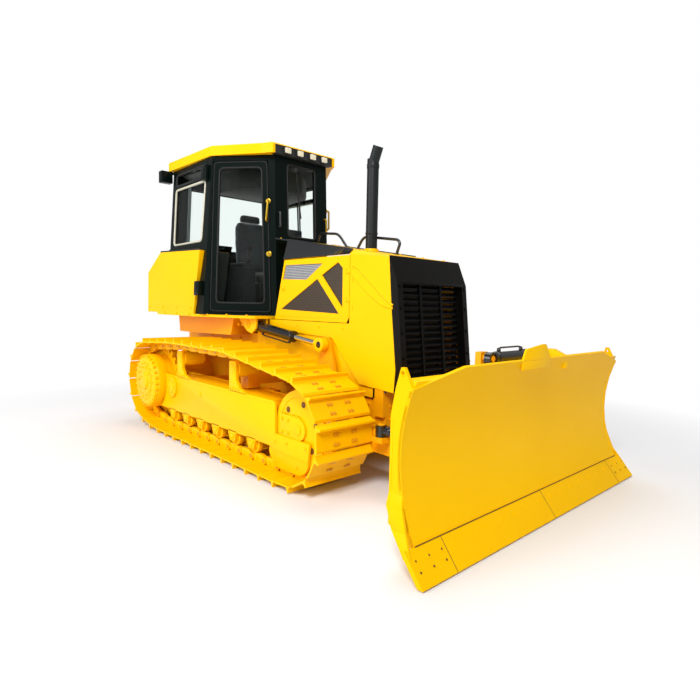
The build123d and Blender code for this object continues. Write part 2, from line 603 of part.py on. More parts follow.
# ---------------------------------------------------------------- blade frame
with BuildPart() as c_frame:
    for _, side in SIDES:
        low, high = between(side, ARM_IN, ARM_OUT)
        slab([(ARM_PIVOT_X, ARM_PIVOT_Z + ARM_HALF), (500, 520), (CROSS_FRONT_X, 425), (CROSS_FRONT_X, 285), (500, 300),
              (ARM_PIVOT_X, ARM_PIVOT_Z - ARM_HALF)], low, high)
        bar((ARM_PIVOT_X, low, ARM_PIVOT_Z), (ARM_PIVOT_X, high, ARM_PIVOT_Z), ARM_HALF)
        bar((ARM_PIVOT_X, low - 1, ARM_PIVOT_Z), (ARM_PIVOT_X, high + 1, ARM_PIVOT_Z), ARM_PIN_R + 0.05, mode=Mode.SUBTRACT)
        # upright lug for the lift cylinder
        low, high = between(side, LUG_IN, LUG_OUT)
        slab([(430, 500), (500, 1040), (LIFT_EYE_X, 1092), (600, 1075), (665, 890), (760, 480)], low, high)
        low, high = between(side, LUG_OUT, CYLINDER_Y - 33)
        bar((LIFT_EYE_X, low, LIFT_EYE_Z), (LIFT_EYE_X, high, LIFT_EYE_Z), 28)
        # bracket and pin of the angle cylinder
        low, high = between(side, ARM_OUT, ANGLE_PIN_Y + 45)
        block(ANGLE_PIN_X - 50, ANGLE_PIN_X + 50, low, high, ANGLE_Z - 80, ANGLE_Z - 42)
        block(ANGLE_PIN_X - 50, ANGLE_PIN_X + 50, *between(side, ARM_OUT - 40, ARM_OUT), ANGLE_Z - 120, ANGLE_Z - 42)
        bar((ANGLE_PIN_X, side * ANGLE_PIN_Y, ANGLE_Z - 42), (ANGLE_PIN_X, side * ANGLE_PIN_Y, ANGLE_Z + 40), ANGLE_PIN_R)
    block(CROSS_FRONT_X - 130, CROSS_FRONT_X, -ARM_OUT, ARM_OUT, 285, 425)
    block(CROSS_FRONT_X, CROSS_FRONT_X + 90, -120, 120, 262, 488)
    for z_low, z_high in ((262, 297), (453, 488)):
        plan_prism([(CROSS_FRONT_X + 80, -95), (YOKE_PIN_X, -70), (YOKE_PIN_X, 70), (CROSS_FRONT_X + 80, 95)], z_low, z_high)
        bar((YOKE_PIN_X, 0, z_low), (YOKE_PIN_X, 0, z_high), 70)
    bar((YOKE_PIN_X, 0, 290), (YOKE_PIN_X, 0, 460), YOKE_PIN_R)
keep(c_frame.part, "c_frame")

with BuildPart() as yoke:
    bar((YOKE_PIN_X, 0, 303), (YOKE_PIN_X, 0, 447), 72)
    block(YOKE_PIN_X, 1910, -60, 60, 310, 440)
    block(1900, 1985, -ANGLE_EYE_Y - 45, ANGLE_EYE_Y + 45, 320, ANGLE_Z - 28)
    bar((YOKE_PIN_X, 0, 300), (YOKE_PIN_X, 0, 450), YOKE_PIN_R + 0.05, mode=Mode.SUBTRACT)
    bar((1985, 0, YOKE_Z), (BLADE_BACK_X - 2, 0, YOKE_Z), TILT_PIN_R)
    for _, side in SIDES:
        # ears above and below the angle cylinder's eye, joined on the inner side
        block(1915, 2000, *between(side, ANGLE_EYE_Y - 100, ANGLE_EYE_Y + 45), ANGLE_Z + 28, ANGLE_Z + 50)
        block(1915, 2000, *between(side, ANGLE_EYE_Y - 100, ANGLE_EYE_Y - 80), ANGLE_Z - 40, ANGLE_Z + 30)
    # mast of the tilt cylinder
    slab([(1930, ANGLE_Z + 45), (1945, TILT_CYL_Z + 40), (1985, TILT_CYL_Z + 40), (2000, ANGLE_Z + 45)],
         -TILT_CYL_Y - 38, -TILT_CYL_Y + 38)
    bar((1980, -TILT_CYL_Y, TILT_CYL_Z), (TILT_CYL_X + 25, -TILT_CYL_Y, TILT_CYL_Z), 20)
keep(yoke.part, "blade_yoke")


def cylinder_barrel(pin, eye, body, radius, eye_radius, pin_radius, half, across, bore):
    """Barrel of a hydraulic cylinder: rear eye on its pin and a hollow tube along the axis."""
    axis = (Vector(*eye) - Vector(*pin)).normalized()
    at = lambda d: tuple(Vector(*pin) + axis * d)
    side_step = Vector(*across) * half
    bar(tuple(Vector(*pin) - side_step), tuple(Vector(*pin) + side_step), eye_radius)
    bar(at(eye_radius - 18), at(body), radius)
    bar(at(eye_radius + 12), at(body + 1), bore, mode=Mode.SUBTRACT)
    bar(tuple(Vector(*pin) - side_step * 1.2), tuple(Vector(*pin) + side_step * 1.2), pin_radius + 0.05, mode=Mode.SUBTRACT)


def cylinder_rod(pin, eye, inner_end, radius, eye_radius, half, across):
    """Piston rod: round bar from inside the barrel to a solid eye."""
    axis = (Vector(*eye) - Vector(*pin)).normalized()
    length = (Vector(*eye) - Vector(*pin)).length
    at = lambda d: tuple(Vector(*pin) + axis * d)
    side_step = Vector(*across) * half
    bar(at(inner_end), at(length - eye_radius + 10), radius)
    bar(tuple(Vector(*eye) - side_step), tuple(Vector(*eye) + side_step), eye_radius)


for name, side in SIDES:
    pin = (LIFT_PIN_X, side * CYLINDER_Y, LIFT_PIN_Z)
    eye = (LIFT_EYE_X, side * CYLINDER_Y, LIFT_EYE_Z)
    with BuildPart() as lift_barrel:
        cylinder_barrel(pin, eye, 590, 45, 52, LIFT_PIN_R, 36, (0, 1, 0), 25 + FIT)
    keep(lift_barrel.part, f"lift_barrel_{name}")
    with BuildPart() as lift_rod:
        cylinder_rod(pin, eye, 420, 25, 55, 30, (0, 1, 0))
    keep(lift_rod.part, f"lift_rod_{name}")

    pin = (ANGLE_PIN_X, side * ANGLE_PIN_Y, ANGLE_Z)
    eye = (ANGLE_EYE_X, side * ANGLE_EYE_Y, ANGLE_Z)
    with BuildPart() as angle_barrel:
        cylinder_barrel(pin, eye, 420, 36, 42, ANGLE_PIN_R, 38, (0, 0, 1), 19 + FIT)
    keep(angle_barrel.part, f"angle_barrel_{name}")
    with BuildPart() as angle_rod:
        cylinder_rod(pin, eye, 228, 19, 38, 25, (0, 0, 1))
    keep(angle_rod.part, f"angle_rod_{name}")

pin = (TILT_CYL_X, -TILT_CYL_Y, TILT_CYL_Z)
eye = (TILT_CYL_X, TILT_EYE_Y, TILT_CYL_Z)
with BuildPart() as tilt_barrel:
    cylinder_barrel(pin, eye, 440, 40, 40, 20, 22, (1, 0, 0), 19 + FIT)
keep(tilt_barrel.part, "tilt_barrel")
with BuildPart() as tilt_rod:
    cylinder_rod(pin, eye, 250, 19, 36, 18, (1, 0, 0))
keep(tilt_rod.part, "tilt_rod")

# ---------------------------------------------------------------- blade
def skin_x(z, inset=0.0):
    """Station of the curved mouldboard at a height."""
    radius = SKIN_R + inset
    return SKIN_X - math.sqrt(radius ** 2 - (z - SKIN_Z) ** 2)


# the edge runs straight on from the mouldboard's lower end down to its tip
EDGE_TOP = (skin_x(SKIN_LOW), SKIN_LOW)
EDGE_RUN = (BLADE_TIP_X - EDGE_TOP[0], EDGE_LOW - EDGE_TOP[1])
EDGE_LENGTH = math.hypot(*EDGE_RUN)
EDGE_HEEL = (EDGE_TOP[0] + EDGE_THICK * EDGE_RUN[1] / EDGE_LENGTH, EDGE_TOP[1] - EDGE_THICK * EDGE_RUN[0] / EDGE_LENGTH)
EDGE_SOLE = (BLADE_TIP_X + EDGE_THICK * EDGE_LENGTH / EDGE_RUN[1], EDGE_LOW)


def skin_outline(low, high, back):
    """Side view of a plate that follows the mouldboard's back and ends at a flat rear edge."""
    steps = 8
    front = [(skin_x(low + (high - low) * k / steps, SKIN), low + (high - low) * k / steps) for k in range(steps + 1)]
    return [*front, (back, high), (back, low)]


with BuildPart() as blade:
    with BuildSketch(Plane.XZ.offset(-BLADE_HALF), mode=Mode.PRIVATE) as section:
        with BuildLine():
            front = ThreePointArc((skin_x(SKIN_LOW), SKIN_LOW), (skin_x(SKIN_Z), SKIN_Z), (skin_x(BLADE_TOP), BLADE_TOP))
            back = ThreePointArc((skin_x(BLADE_TOP, SKIN), BLADE_TOP), (skin_x(SKIN_Z, SKIN), SKIN_Z), (skin_x(SKIN_LOW, SKIN), SKIN_LOW))
            Line(front @ 1, back @ 0)
            Line(back @ 1, front @ 0)
        make_face()
    extrude(section.sketch, amount=2 * BLADE_HALF)
    # corner cuts of the mouldboard's top
    for _, side in SIDES:
        with BuildSketch(Plane.YZ.offset(2100), mode=Mode.PRIVATE) as corner:
            with BuildLine():
                Polyline((side * 800, BLADE_TOP + 5), (side * (BLADE_HALF + 5), 925), (side * (BLADE_HALF + 5), BLADE_TOP + 60),
                         (side * 800, BLADE_TOP + 60), close=True)
            make_face()
        extrude(corner.sketch, amount=200, mode=Mode.SUBTRACT)
        # end plate with its lifting lug
        low, high = between(side, BLADE_HALF - 20, BLADE_HALF)
        slab([(2110, 1037), (2085, 990), (BLADE_BACK_X, 930), (BLADE_BACK_X, 230), EDGE_HEEL,
              EDGE_TOP, *[(skin_x(z) + 2, z) for z in (320, 440, 560, 680, 800, 930)], (2175, 985), (2140, 1037)], low, high)
    for y in (-840, -420, 0, 420, 840):
        slab(skin_outline(240, 870, BLADE_BACK_X + 40), y - 8, y + 8)
    for back, z_low, z_high in ((BLADE_BACK_X, 230, 350), (BLADE_BACK_X + 40, 850, 985)):
        slab([(back, z_low), (back, z_high), (skin_x(z_high, SKIN) + 4, z_high), (skin_x(z_low, SKIN) + 4, z_low)],
             -BLADE_HALF + 20, BLADE_HALF - 20)
    slab([(BLADE_BACK_X, 240), (BLADE_BACK_X, 230), EDGE_HEEL, (skin_x(SKIN_LOW + 20, SKIN) + 4, SKIN_LOW + 20), (skin_x(240, SKIN) + 4, 240)],
         -BLADE_HALF + 20, BLADE_HALF - 20)
    bar((BLADE_BACK_X - 50, 0, YOKE_Z), (skin_x(YOKE_Z, SKIN) + 4, 0, YOKE_Z), 95)
    bar((BLADE_BACK_X - 60, 0, YOKE_Z), (BLADE_BACK_X + 2, 0, YOKE_Z), TILT_PIN_R + 0.05, mode=Mode.SUBTRACT)
    # guard plate over the tilt cylinder and the bracket behind it
    with BuildSketch(Plane.YZ.offset(skin_x(BLADE_TOP) - SKIN), mode=Mode.PRIVATE) as guard:
        with BuildLine():
            Polyline((-390, BLADE_TOP - 60), (-390, BLADE_TOP + 10), (0, BLADE_TOP + 10), (40, 1075), (330, 1100), (390, BLADE_TOP),
                     (390, BLADE_TOP - 60), close=True)
        make_face()
    extrude(guard.sketch, amount=SKIN)
    slab([(TILT_CYL_X + 25, 950), (TILT_CYL_X + 25, TILT_CYL_Z + 40), (skin_x(BLADE_TOP) - 4, TILT_CYL_Z + 40), (skin_x(BLADE_TOP) - 4, 950)],
         TILT_EYE_Y - 40, TILT_EYE_Y + 40)
keep(blade.part, "blade")

with BuildPart() as cutting_edge:
    with BuildSketch(Plane.XZ.offset(-EDGE_HALF), mode=Mode.PRIVATE) as section:
        with BuildLine():
            Polyline(EDGE_TOP, (BLADE_TIP_X, EDGE_LOW), EDGE_SOLE, EDGE_HEEL, close=True)
        make_face()
    extrude(section.sketch, amount=2 * EDGE_HALF)
keep(cutting_edge.part, "cutting_edge")
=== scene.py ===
"""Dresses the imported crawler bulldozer: finishes, small parts, cab interior and a pale studio.

Everything is in metres in the machine's own frame: +X forward to the blade,
+Y to the machine's left, +Z up, the ground at z = 0.
"""
from __future__ import annotations

import json
import logging
import math
from dataclasses import dataclass
from enum import Enum
from typing import Any, Iterable, Mapping, Sequence

import bmesh
import bpy
from mathutils import Matrix, Vector

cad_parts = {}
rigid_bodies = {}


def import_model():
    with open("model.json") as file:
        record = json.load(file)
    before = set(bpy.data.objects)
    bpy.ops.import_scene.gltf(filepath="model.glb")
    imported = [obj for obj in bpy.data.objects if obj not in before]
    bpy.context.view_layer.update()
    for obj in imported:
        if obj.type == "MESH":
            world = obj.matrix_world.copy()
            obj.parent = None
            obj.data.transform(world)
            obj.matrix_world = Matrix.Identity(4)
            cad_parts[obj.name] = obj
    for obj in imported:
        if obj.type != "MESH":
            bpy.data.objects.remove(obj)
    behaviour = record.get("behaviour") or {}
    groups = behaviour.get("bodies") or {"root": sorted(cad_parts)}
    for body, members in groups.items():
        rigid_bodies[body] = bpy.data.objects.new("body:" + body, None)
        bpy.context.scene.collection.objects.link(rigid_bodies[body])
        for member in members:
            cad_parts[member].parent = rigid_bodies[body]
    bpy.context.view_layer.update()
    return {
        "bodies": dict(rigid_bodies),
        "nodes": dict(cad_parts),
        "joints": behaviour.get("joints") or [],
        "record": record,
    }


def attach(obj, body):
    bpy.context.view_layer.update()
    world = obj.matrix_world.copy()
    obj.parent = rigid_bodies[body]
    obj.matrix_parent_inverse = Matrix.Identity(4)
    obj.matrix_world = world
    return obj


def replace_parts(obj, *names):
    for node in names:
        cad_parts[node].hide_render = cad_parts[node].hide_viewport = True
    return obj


log = logging.getLogger("bulldozer")
Point = Sequence[float]
MM = 0.001
SHARP_ANGLE = 0.6             # radians between faces from which an edge stays crisp
WHITE = (1.0, 1.0, 1.0, 1.0)


class Side(Enum):
    """Side of the machine, with its sign along Y."""

    RIGHT = -1
    LEFT = 1


SIDES = tuple((side.name.lower(), side.value) for side in Side)


# ------------------------------------------------------------------ finishes
def linear(hex_colour: str, alpha: float = 1.0) -> tuple[float, float, float, float]:
    """Turn an sRGB hex colour into linear values.

    Args:
        hex_colour: Six hexadecimal digits.
        alpha: Opacity to put beside the colour.

    Returns:
        Linear red, green, blue and alpha.
    """
    parts = [int(hex_colour[i : i + 2], 16) / 255 for i in (0, 2, 4)]
    curve = [c / 12.92 if c <= 0.04045 else ((c + 0.055) / 1.055) ** 2.4 for c in parts]
    return (curve[0], curve[1], curve[2], alpha)


def add_node(
    tree: bpy.types.NodeTree,
    kind: str,
    settings: Mapping[Any, Any] | None = None,
    links: Mapping[Any, bpy.types.NodeSocket] | None = None,
) -> bpy.types.Node:
    """Add one shader node with its settings and the links into it.

    Args:
        tree: Node tree of the material.
        kind: Blender's identifier of the node.
        settings: Values by input name or number, or by the node's own property.
        links: Output sockets by the input name or number they feed.

    Returns:
        The new node.
    """
    node = tree.nodes.new(kind)
    for key, value in (settings or {}).items():
        if isinstance(key, int) or key in node.inputs:
            node.inputs[key].default_value = value
        else:
            setattr(node, key, value)
    for key, socket in (links or {}).items():
        tree.links.new(socket, node.inputs[key])
    return node


@dataclass(frozen=True)
class Finish:
    """A surface: its colour, how it shines and the small relief that its making leaves."""

    name: str
    colour: str
    second_colour: str = ""
    roughness: float = 0.4
    roughness_spread: float = 0.08
    metallic: float = 0.0
    coat: float = 0.0
    sheen: float = 0.0
    patch_mm: float = 400.0
    grain_mm: float = 2.0
    grain_depth_mm: float = 0.03
    transmission: float = 0.0
    ior: float = 1.5
    specular: float = 0.5

    def make(self) -> bpy.types.Material:
        """Build the material, once.

        Returns:
            The material.
        """
        found = bpy.data.materials.get(self.name)
        if found:
            return found
        material = bpy.data.materials.new(self.name)
        material.use_nodes = True
        tree = material.node_tree
        tree.nodes.clear()
        place = add_node(tree, "ShaderNodeTexCoord").outputs["Object"]
        shader = self.surface(tree, place)
        add_node(tree, "ShaderNodeOutputMaterial", links={"Surface": shader.outputs[0]})
        return material

    def surface(self, tree: bpy.types.NodeTree, place: bpy.types.NodeSocket) -> bpy.types.Node:
        """Shader of the surface; a subclass adds its own pattern.

        Args:
            tree: Node tree of the material.
            place: Object coordinates in metres.

        Returns:
            The shader node.
        """
        patches = add_node(
            tree,
            "ShaderNodeTexNoise",
            {"Scale": 1000 / self.patch_mm, "Detail": 4.0, "Roughness": 0.55},
            {"Vector": place},
        ).outputs["Fac"]
        grain = add_node(
            tree,
            "ShaderNodeTexNoise",
            {"Scale": 1000 / self.grain_mm, "Detail": 2.0},
            {"Vector": place},
        ).outputs["Fac"]
        colour = add_node(
            tree,
            "ShaderNodeMix",
            {"data_type": "RGBA", 6: linear(self.colour), 7: linear(self.second_colour or self.colour)},
            {0: patches},
        ).outputs[2]
        low, high = self.roughness - self.roughness_spread, self.roughness + self.roughness_spread
        shine = add_node(
            tree,
            "ShaderNodeMapRange",
            {"To Min": low, "To Max": high},
            {"Value": patches},
        ).outputs[0]
        relief = add_node(
            tree,
            "ShaderNodeBump",
            {"Strength": 0.5, "Distance": self.grain_depth_mm / 1000},
            {"Height": grain},
        ).outputs[0]
        return add_node(
            tree,
            "ShaderNodeBsdfPrincipled",
            {
                "Metallic": self.metallic,
                "Coat Weight": self.coat,
                "Sheen Weight": self.sheen,
                "Transmission Weight": self.transmission,
                "IOR": self.ior,
                "Specular IOR Level": self.specular,
            },
            {"Base Color": colour, "Roughness": shine, "Normal": relief},
        )


@dataclass(frozen=True)
class Screen(Finish):
    """Perforated sheet: round holes in straight rows, filled with painted shade for the dark seen through
    them.
    """

    # painted shade that fills each hole
    hole_shade: str = "050606"
    pitch_mm: float = 14.0
    web_share: float = 0.36

    def surface(self, tree: bpy.types.NodeTree, place: bpy.types.NodeSocket) -> bpy.types.Node:
        """Shader with the rows of holes.

        Args:
            tree: Node tree of the material.
            place: Object coordinates in metres.

        Returns:
            The shader node.
        """
        flat = add_node(
            tree, "ShaderNodeVectorMath", {"operation": "MULTIPLY", 1: (1.0, 0.0, 1.0)}, {0: place}
        ).outputs[0]
        distance = add_node(
            tree, "ShaderNodeTexVoronoi", {"Scale": 1000 / self.pitch_mm, "Randomness": 0.0}, {"Vector": flat}
        ).outputs["Distance"]
        web = add_node(
            tree, "ShaderNodeMapRange", {"From Min": self.web_share, "From Max": self.web_share + 0.06},
            {"Value": distance},
        ).outputs[0]
        shader = super().surface(tree, place)
        wire = shader.inputs["Base Color"].links[0].from_socket
        colour = add_node(
            tree, "ShaderNodeMix", {"data_type": "RGBA", 6: linear(self.hole_shade)}, {0: web, 7: wire}
        ).outputs[2]
        tree.links.new(colour, shader.inputs["Base Color"])
        return shader


# Two-pack enamel sprayed on steel: an even warm yellow with soft highlights and a faint orange
# peel, drawn coarser than the real 1 mm so that it shows
BODY_ENAMEL = Finish(
    "body_enamel", "FFC600", "FCBB00", 0.36, 0.05, coat=0.02,
    grain_mm=6.0, grain_depth_mm=0.05, specular=0.09,
)
# The same enamel in a slightly deeper yellow, painted shade for the blade's broad face; rubbed by earth and
# flatter, so the wide blade shows no glare
BLADE_ENAMEL = Finish(
    "blade_enamel", "F8C200", "F2B900", 0.4, 0.06, grain_mm=6.0, grain_depth_mm=0.05, specular=0.05,
)
# Enamel on hot-rolled chassis plate over a slightly uneven surface, in a deeper yellow than the body's:
# painted shade for the frame, yoke and push arms that sit under and behind the body
CHASSIS_ENAMEL = Finish(
    "chassis_enamel", "F6AC00", "EC9F00", 0.45, 0.08, coat=0.05,
    grain_mm=8.0, grain_depth_mm=0.08, specular=0.2,
)
# Green-black gloss enamel of the cab's posts: narrow soft highlights along their edges
CAB_ENAMEL = Finish(
    "cab_enamel", "06120F", "040D0B", 0.28, 0.05, coat=0.02, grain_mm=6.0, grain_depth_mm=0.04, specular=0.11,
)
# Powder-coated slats of the grille: dead black with no glint between them
GRILLE_ENAMEL = Finish("grille_enamel", "050506", "090A0A", 0.4, 0.08, grain_mm=5.0, specular=0.12)
# Satin black pressing round the grille: a dull sheen on its bevels
SURROUND_ENAMEL = Finish(
    "surround_enamel", "0C0A08", "080706", 0.32, 0.06, coat=0.02, grain_mm=6.0, specular=0.14,
)
# Heat-resistant coating of the exhaust: blue-black, rough and a little dusty
EXHAUST_COATING = Finish(
    "exhaust_coating", "0E1517", "151B1D", 0.45, 0.1, grain_mm=4.0, grain_depth_mm=0.1, specular=0.3,
)
# Sand-cast iron of the engine: dull mid grey with a coarse skin
CAST_IRON = Finish("cast_iron", "4A4C4E", "38393B", 0.65, 0.1, metallic=0.3, grain_mm=5.0, grain_depth_mm=0.4)
# Hard chrome ground on the cylinder rods: a bright mirror stripe along each rod
HARD_CHROME = Finish(
    "hard_chrome", "E2E4E6", "D5D7DA", 0.08, 0.03, metallic=1.0, grain_mm=3.0, grain_depth_mm=0.005,
)
# Black gloss enamel of the cylinder barrels: one sharp highlight along the tube
CYLINDER_ENAMEL = Finish("cylinder_enamel", "0D0E10", "151618", 0.22, 0.05, coat=0.4, grain_mm=6.0)
# Thin tempered pane: the solid is thicker than the real glass, so its bend is kept small and
# the inside of the cab stays in its place behind it
TINTED_GLASS = Finish(
    "tinted_glass", "F7FCFA", "F7FCFA", 0.01, 0.0, transmission=1.0, ior=1.08, grain_depth_mm=0.0,
)
# Woven upholstery cloth: no highlight, a soft light rim, weave drawn at 3 mm so that it shows
SEAT_CLOTH = Finish("seat_cloth", "1E2224", "2A2E30", 0.85, 0.08, sheen=0.4, grain_mm=3.0, grain_depth_mm=0.6)
# Injection-moulded plastic of console and seat base: matt charcoal with a fine grain
MOULDED_PLASTIC = Finish("moulded_plastic", "1C1E20", "232527", 0.55, 0.08, grain_mm=1.5, grain_depth_mm=0.15)
# Zinc-plated or painted steel fasteners, a little duller than the enamel round them
TRACK_BOLT = Finish("track_bolt", "F0AE00", "C98A10", 0.4, 0.1, grain_mm=4.0)
# Forged link side worn to a grey sheen at the pins
LINK_STEEL = Finish(
    "link_steel", "E8A600", "B98A2A", 0.45, 0.12, metallic=0.15, grain_mm=4.0, grain_depth_mm=0.1,
)
# Painted shade: a dark brown put inside a hole or a seam in place of the shade that falls there, so that it
# reads as depth
SHADOW_PAINT = Finish("shadow_paint", "7A4A06", "5E3A05", 0.7, 0.1)
# Galvanised perforated sheet: light grey webs round dark holes 14 mm apart
BRIGHT_MESH = Screen("bright_screen", "C9CDD2", "B4B9BF", 0.4, 0.1, metallic=0.3, grain_depth_mm=0.0)
# Brown-black coated perforated sheet over the engine: almost closed to the eye
DARK_MESH = Screen("dark_screen", "4A3A26", "3A2E20", 0.5, 0.1, grain_depth_mm=0.0, web_share=0.3)
# Deep black gloss enamel of the shoulder band: mirrors the sky in one soft streak
SHOULDER_ENAMEL = Finish("shoulder_enamel", "0B0D10", "101215", 0.12, 0.03, coat=0.6, grain_mm=6.0)
# Bent steel tube in satin black: a thin highlight that follows the bends
RAIL_ENAMEL = Finish("rail_enamel", "15181A", "1C1F22", 0.32, 0.06, coat=0.2, grain_mm=4.0)
# Fins and shroud behind the grille in a dull dark grey rather than bare aluminium's bright grey: painted
# shade for the dark inside the nose
CORE_METAL = Finish("core_metal", "3C4044", "303437", 0.55, 0.1, metallic=0.5)
# Moulded rubber: matt black without a highlight
RUBBER = Finish("rubber", "0E0F10", "141516", 0.72, 0.08, grain_mm=1.5, grain_depth_mm=0.12)
# Cream PVC glazing strip round the sliding windows: a pale matt outline
SEAL_TRIM = Finish("seal_trim", "CFCBB8", "BDB8A4", 0.55, 0.06, grain_mm=2.0)
# Anodised aluminium bars of the sliding pane: dark green-grey
SEAL_DARK = Finish("seal_dark", "2C3A36", "24302D", 0.4, 0.06)
# Yellow passivated zinc on the levers and latches: a soft brass-like gleam
GOLD_PLATE = Finish("gold_plate", "C9A227", "A98A1E", 0.3, 0.08, metallic=0.7)
# Diffusing polycarbonate of the work lamps: cream and slightly glossy
LAMP_GLASS = Finish("lamp_glass", "EDE7CF", "DDD6BC", 0.18, 0.04, coat=0.5)
# Needled felt of the padded headliner: dark and without a highlight. The same finish makes the upright dark
# sheets of painted shade inside the cab
LINING = Finish("lining", "1A201E", "232A27", 0.9, 0.05, sheen=0.2, grain_mm=2.0, grain_depth_mm=0.3)
# Punched steel step plate, worn darker than the body: coarse grip relief
TREAD_PLATE = Finish("tread_plate", "2E2A20", "3A3526", 0.55, 0.1, grain_mm=9.0, grain_depth_mm=1.2)


# ------------------------------------------------------------------ studio
@dataclass(frozen=True)
class Lamp:
    """Round area lamp: its place, what it is aimed at, its size in metres and its watts."""

    name: str
    place: Point
    target: Point
    size: float
    power: float

    def hang(self) -> None:
        """Put the lamp into the scene."""
        data = bpy.data.lights.new(self.name, "AREA")
        data.shape = "DISK"
        data.size = self.size
        data.energy = self.power
        lamp = bpy.data.objects.new(self.name, data)
        aim = (Vector(self.target) - Vector(self.place)).to_track_quat("-Z", "Y")
        lamp.matrix_world = Matrix.Translation(self.place) @ aim.to_matrix().to_4x4()
        bpy.context.scene.collection.objects.link(lamp)


@dataclass
class Studio:
    """Pale floor, soft light and the camera; lengths in metres apart from the lens."""

    eye: Point = (3.826, -3.204, 1.349)
    yaw_deg: float = 137.24
    pitch_deg: float = -4.83
    roll_deg: float = 1.11
    lens_mm: float = 26.77
    sensor_mm: float = 36.0
    sight: float = 300.0
    sky_strength: float = 0.36
    floor_half: float = 60.0
    floor_tone: Point = (0.78, 0.78, 0.79, 1.0)
    fade_near: float = 2.9        # where the grey floor starts to turn white
    fade_far: float = 5.2
    lamps: tuple[Lamp, ...] = (
        Lamp("key", (6.0, -8.0, 9.0), (0.0, 0.0, 1.0), 4.0, 1250.0),
        Lamp("side", (-3.0, -10.0, 4.5), (-0.3, 0.0, 1.0), 6.0, 480.0),
        Lamp("top", (-1.0, 2.0, 10.0), (0.0, 0.0, 1.0), 6.0, 400.0),
    )

    def place_camera(self) -> None:
        """Set the scene's camera."""
        data = bpy.data.cameras.new("camera")
        data.lens = self.lens_mm
        data.sensor_width = self.sensor_mm
        data.clip_end = self.sight
        camera = bpy.data.objects.new("camera", data)
        turn = (
            Matrix.Rotation(math.radians(self.yaw_deg - 90), 4, "Z")
            @ Matrix.Rotation(math.radians(90 + self.pitch_deg), 4, "X")
            @ Matrix.Rotation(math.radians(self.roll_deg), 4, "Z")
        )
        camera.matrix_world = Matrix.Translation(self.eye) @ turn
        bpy.context.scene.collection.objects.link(camera)
        bpy.context.scene.camera = camera

    def light(self) -> None:
        """Even white surroundings, softer than they look, and the lamps."""
        world = bpy.data.worlds.new("surroundings")
        world.use_nodes = True
        tree = world.node_tree
        tree.nodes.clear()
        path = add_node(tree, "ShaderNodeLightPath")
        seen = add_node(
            tree,
            "ShaderNodeMath",
            {"operation": "MAXIMUM"},
            {0: path.outputs["Is Camera Ray"], 1: path.outputs["Is Transmission Ray"]},
        ).outputs[0]
        plain = add_node(tree, "ShaderNodeBackground", {"Color": WHITE, "Strength": 1.0})
        soft = add_node(tree, "ShaderNodeBackground", {"Color": WHITE, "Strength": self.sky_strength})
        mixed = add_node(
            tree, "ShaderNodeMixShader", links={0: seen, 1: soft.outputs[0], 2: plain.outputs[0]}
        )
        add_node(tree, "ShaderNodeOutputWorld", links={"Surface": mixed.outputs[0]})
        bpy.context.scene.world = world
        for lamp in self.lamps:
            lamp.hang()

    def lay_floor(self) -> None:
        """Wide pale floor that keeps the machine's shadow."""
        bm = bmesh.new()
        bmesh.ops.create_grid(bm, x_segments=1, y_segments=1, size=self.floor_half)
        mesh = bpy.data.meshes.new("floor")
        bm.to_mesh(mesh)
        bm.free()
        floor = bpy.data.objects.new("floor", mesh)
        material = bpy.data.materials.new("floor_paint")
        material.use_nodes = True
        tree = material.node_tree
        tree.nodes.clear()
        matt = add_node(tree, "ShaderNodeBsdfDiffuse", {"Color": self.floor_tone})
        white = add_node(tree, "ShaderNodeEmission", {"Color": WHITE, "Strength": 1.0})
        place = add_node(tree, "ShaderNodeTexCoord").outputs["Object"]
        reach = add_node(tree, "ShaderNodeVectorMath", {"operation": "LENGTH"}, {0: place}).outputs["Value"]
        far = add_node(
            tree,
            "ShaderNodeMapRange",
            {"From Min": self.fade_near, "From Max": self.fade_far},
            {"Value": reach},
        ).outputs[0]
        blend = add_node(
            tree, "ShaderNodeMixShader", links={0: far, 1: matt.outputs[0], 2: white.outputs[0]}
        )
        add_node(tree, "ShaderNodeOutputMaterial", links={"Surface": blend.outputs[0]})
        mesh.materials.append(material)
        bpy.context.scene.collection.objects.link(floor)

    def build(self) -> None:
        """Make the studio."""
        self.place_camera()
        self.light()
        self.lay_floor()
        bpy.context.scene.view_settings.view_transform = "Standard"


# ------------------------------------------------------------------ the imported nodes
NODE_FINISHES: tuple[tuple[str, Finish], ...] = (
    ("track_frame", BODY_ENAMEL),
    ("track", BODY_ENAMEL),
    ("sprocket", BODY_ENAMEL),
    ("idler", BODY_ENAMEL),
    ("rollers", BODY_ENAMEL),
    ("main_frame", CHASSIS_ENAMEL),
    ("cross_bars", CHASSIS_ENAMEL),
    ("drawbar", CHASSIS_ENAMEL),
    ("deck", BODY_ENAMEL),
    ("blade_yoke", CHASSIS_ENAMEL),
    ("blade", BLADE_ENAMEL),
    ("cutting_edge", BLADE_ENAMEL),
    ("c_frame", CHASSIS_ENAMEL),
    ("cab_frame", CAB_ENAMEL),
    ("cab_door", CAB_ENAMEL),
    ("cab_glass", TINTED_GLASS),
    ("door_glass", TINTED_GLASS),
    ("grille", GRILLE_ENAMEL),
    ("nose_surround", SURROUND_ENAMEL),
    ("engine_door", BODY_ENAMEL),
    ("engine", CAST_IRON),
    ("radiator", CAST_IRON),
    ("exhaust_stack", EXHAUST_COATING),
    ("lift_barrel", CYLINDER_ENAMEL),
    ("angle_barrel", CYLINDER_ENAMEL),
    ("tilt_barrel", CYLINDER_ENAMEL),
    ("lift_rod", HARD_CHROME),
    ("angle_rod", HARD_CHROME),
    ("tilt_rod", HARD_CHROME),
    ("seat_base", MOULDED_PLASTIC),
    ("seat", SEAT_CLOTH),
    ("controls", MOULDED_PLASTIC),
    ("light_bar", MOULDED_PLASTIC),
)


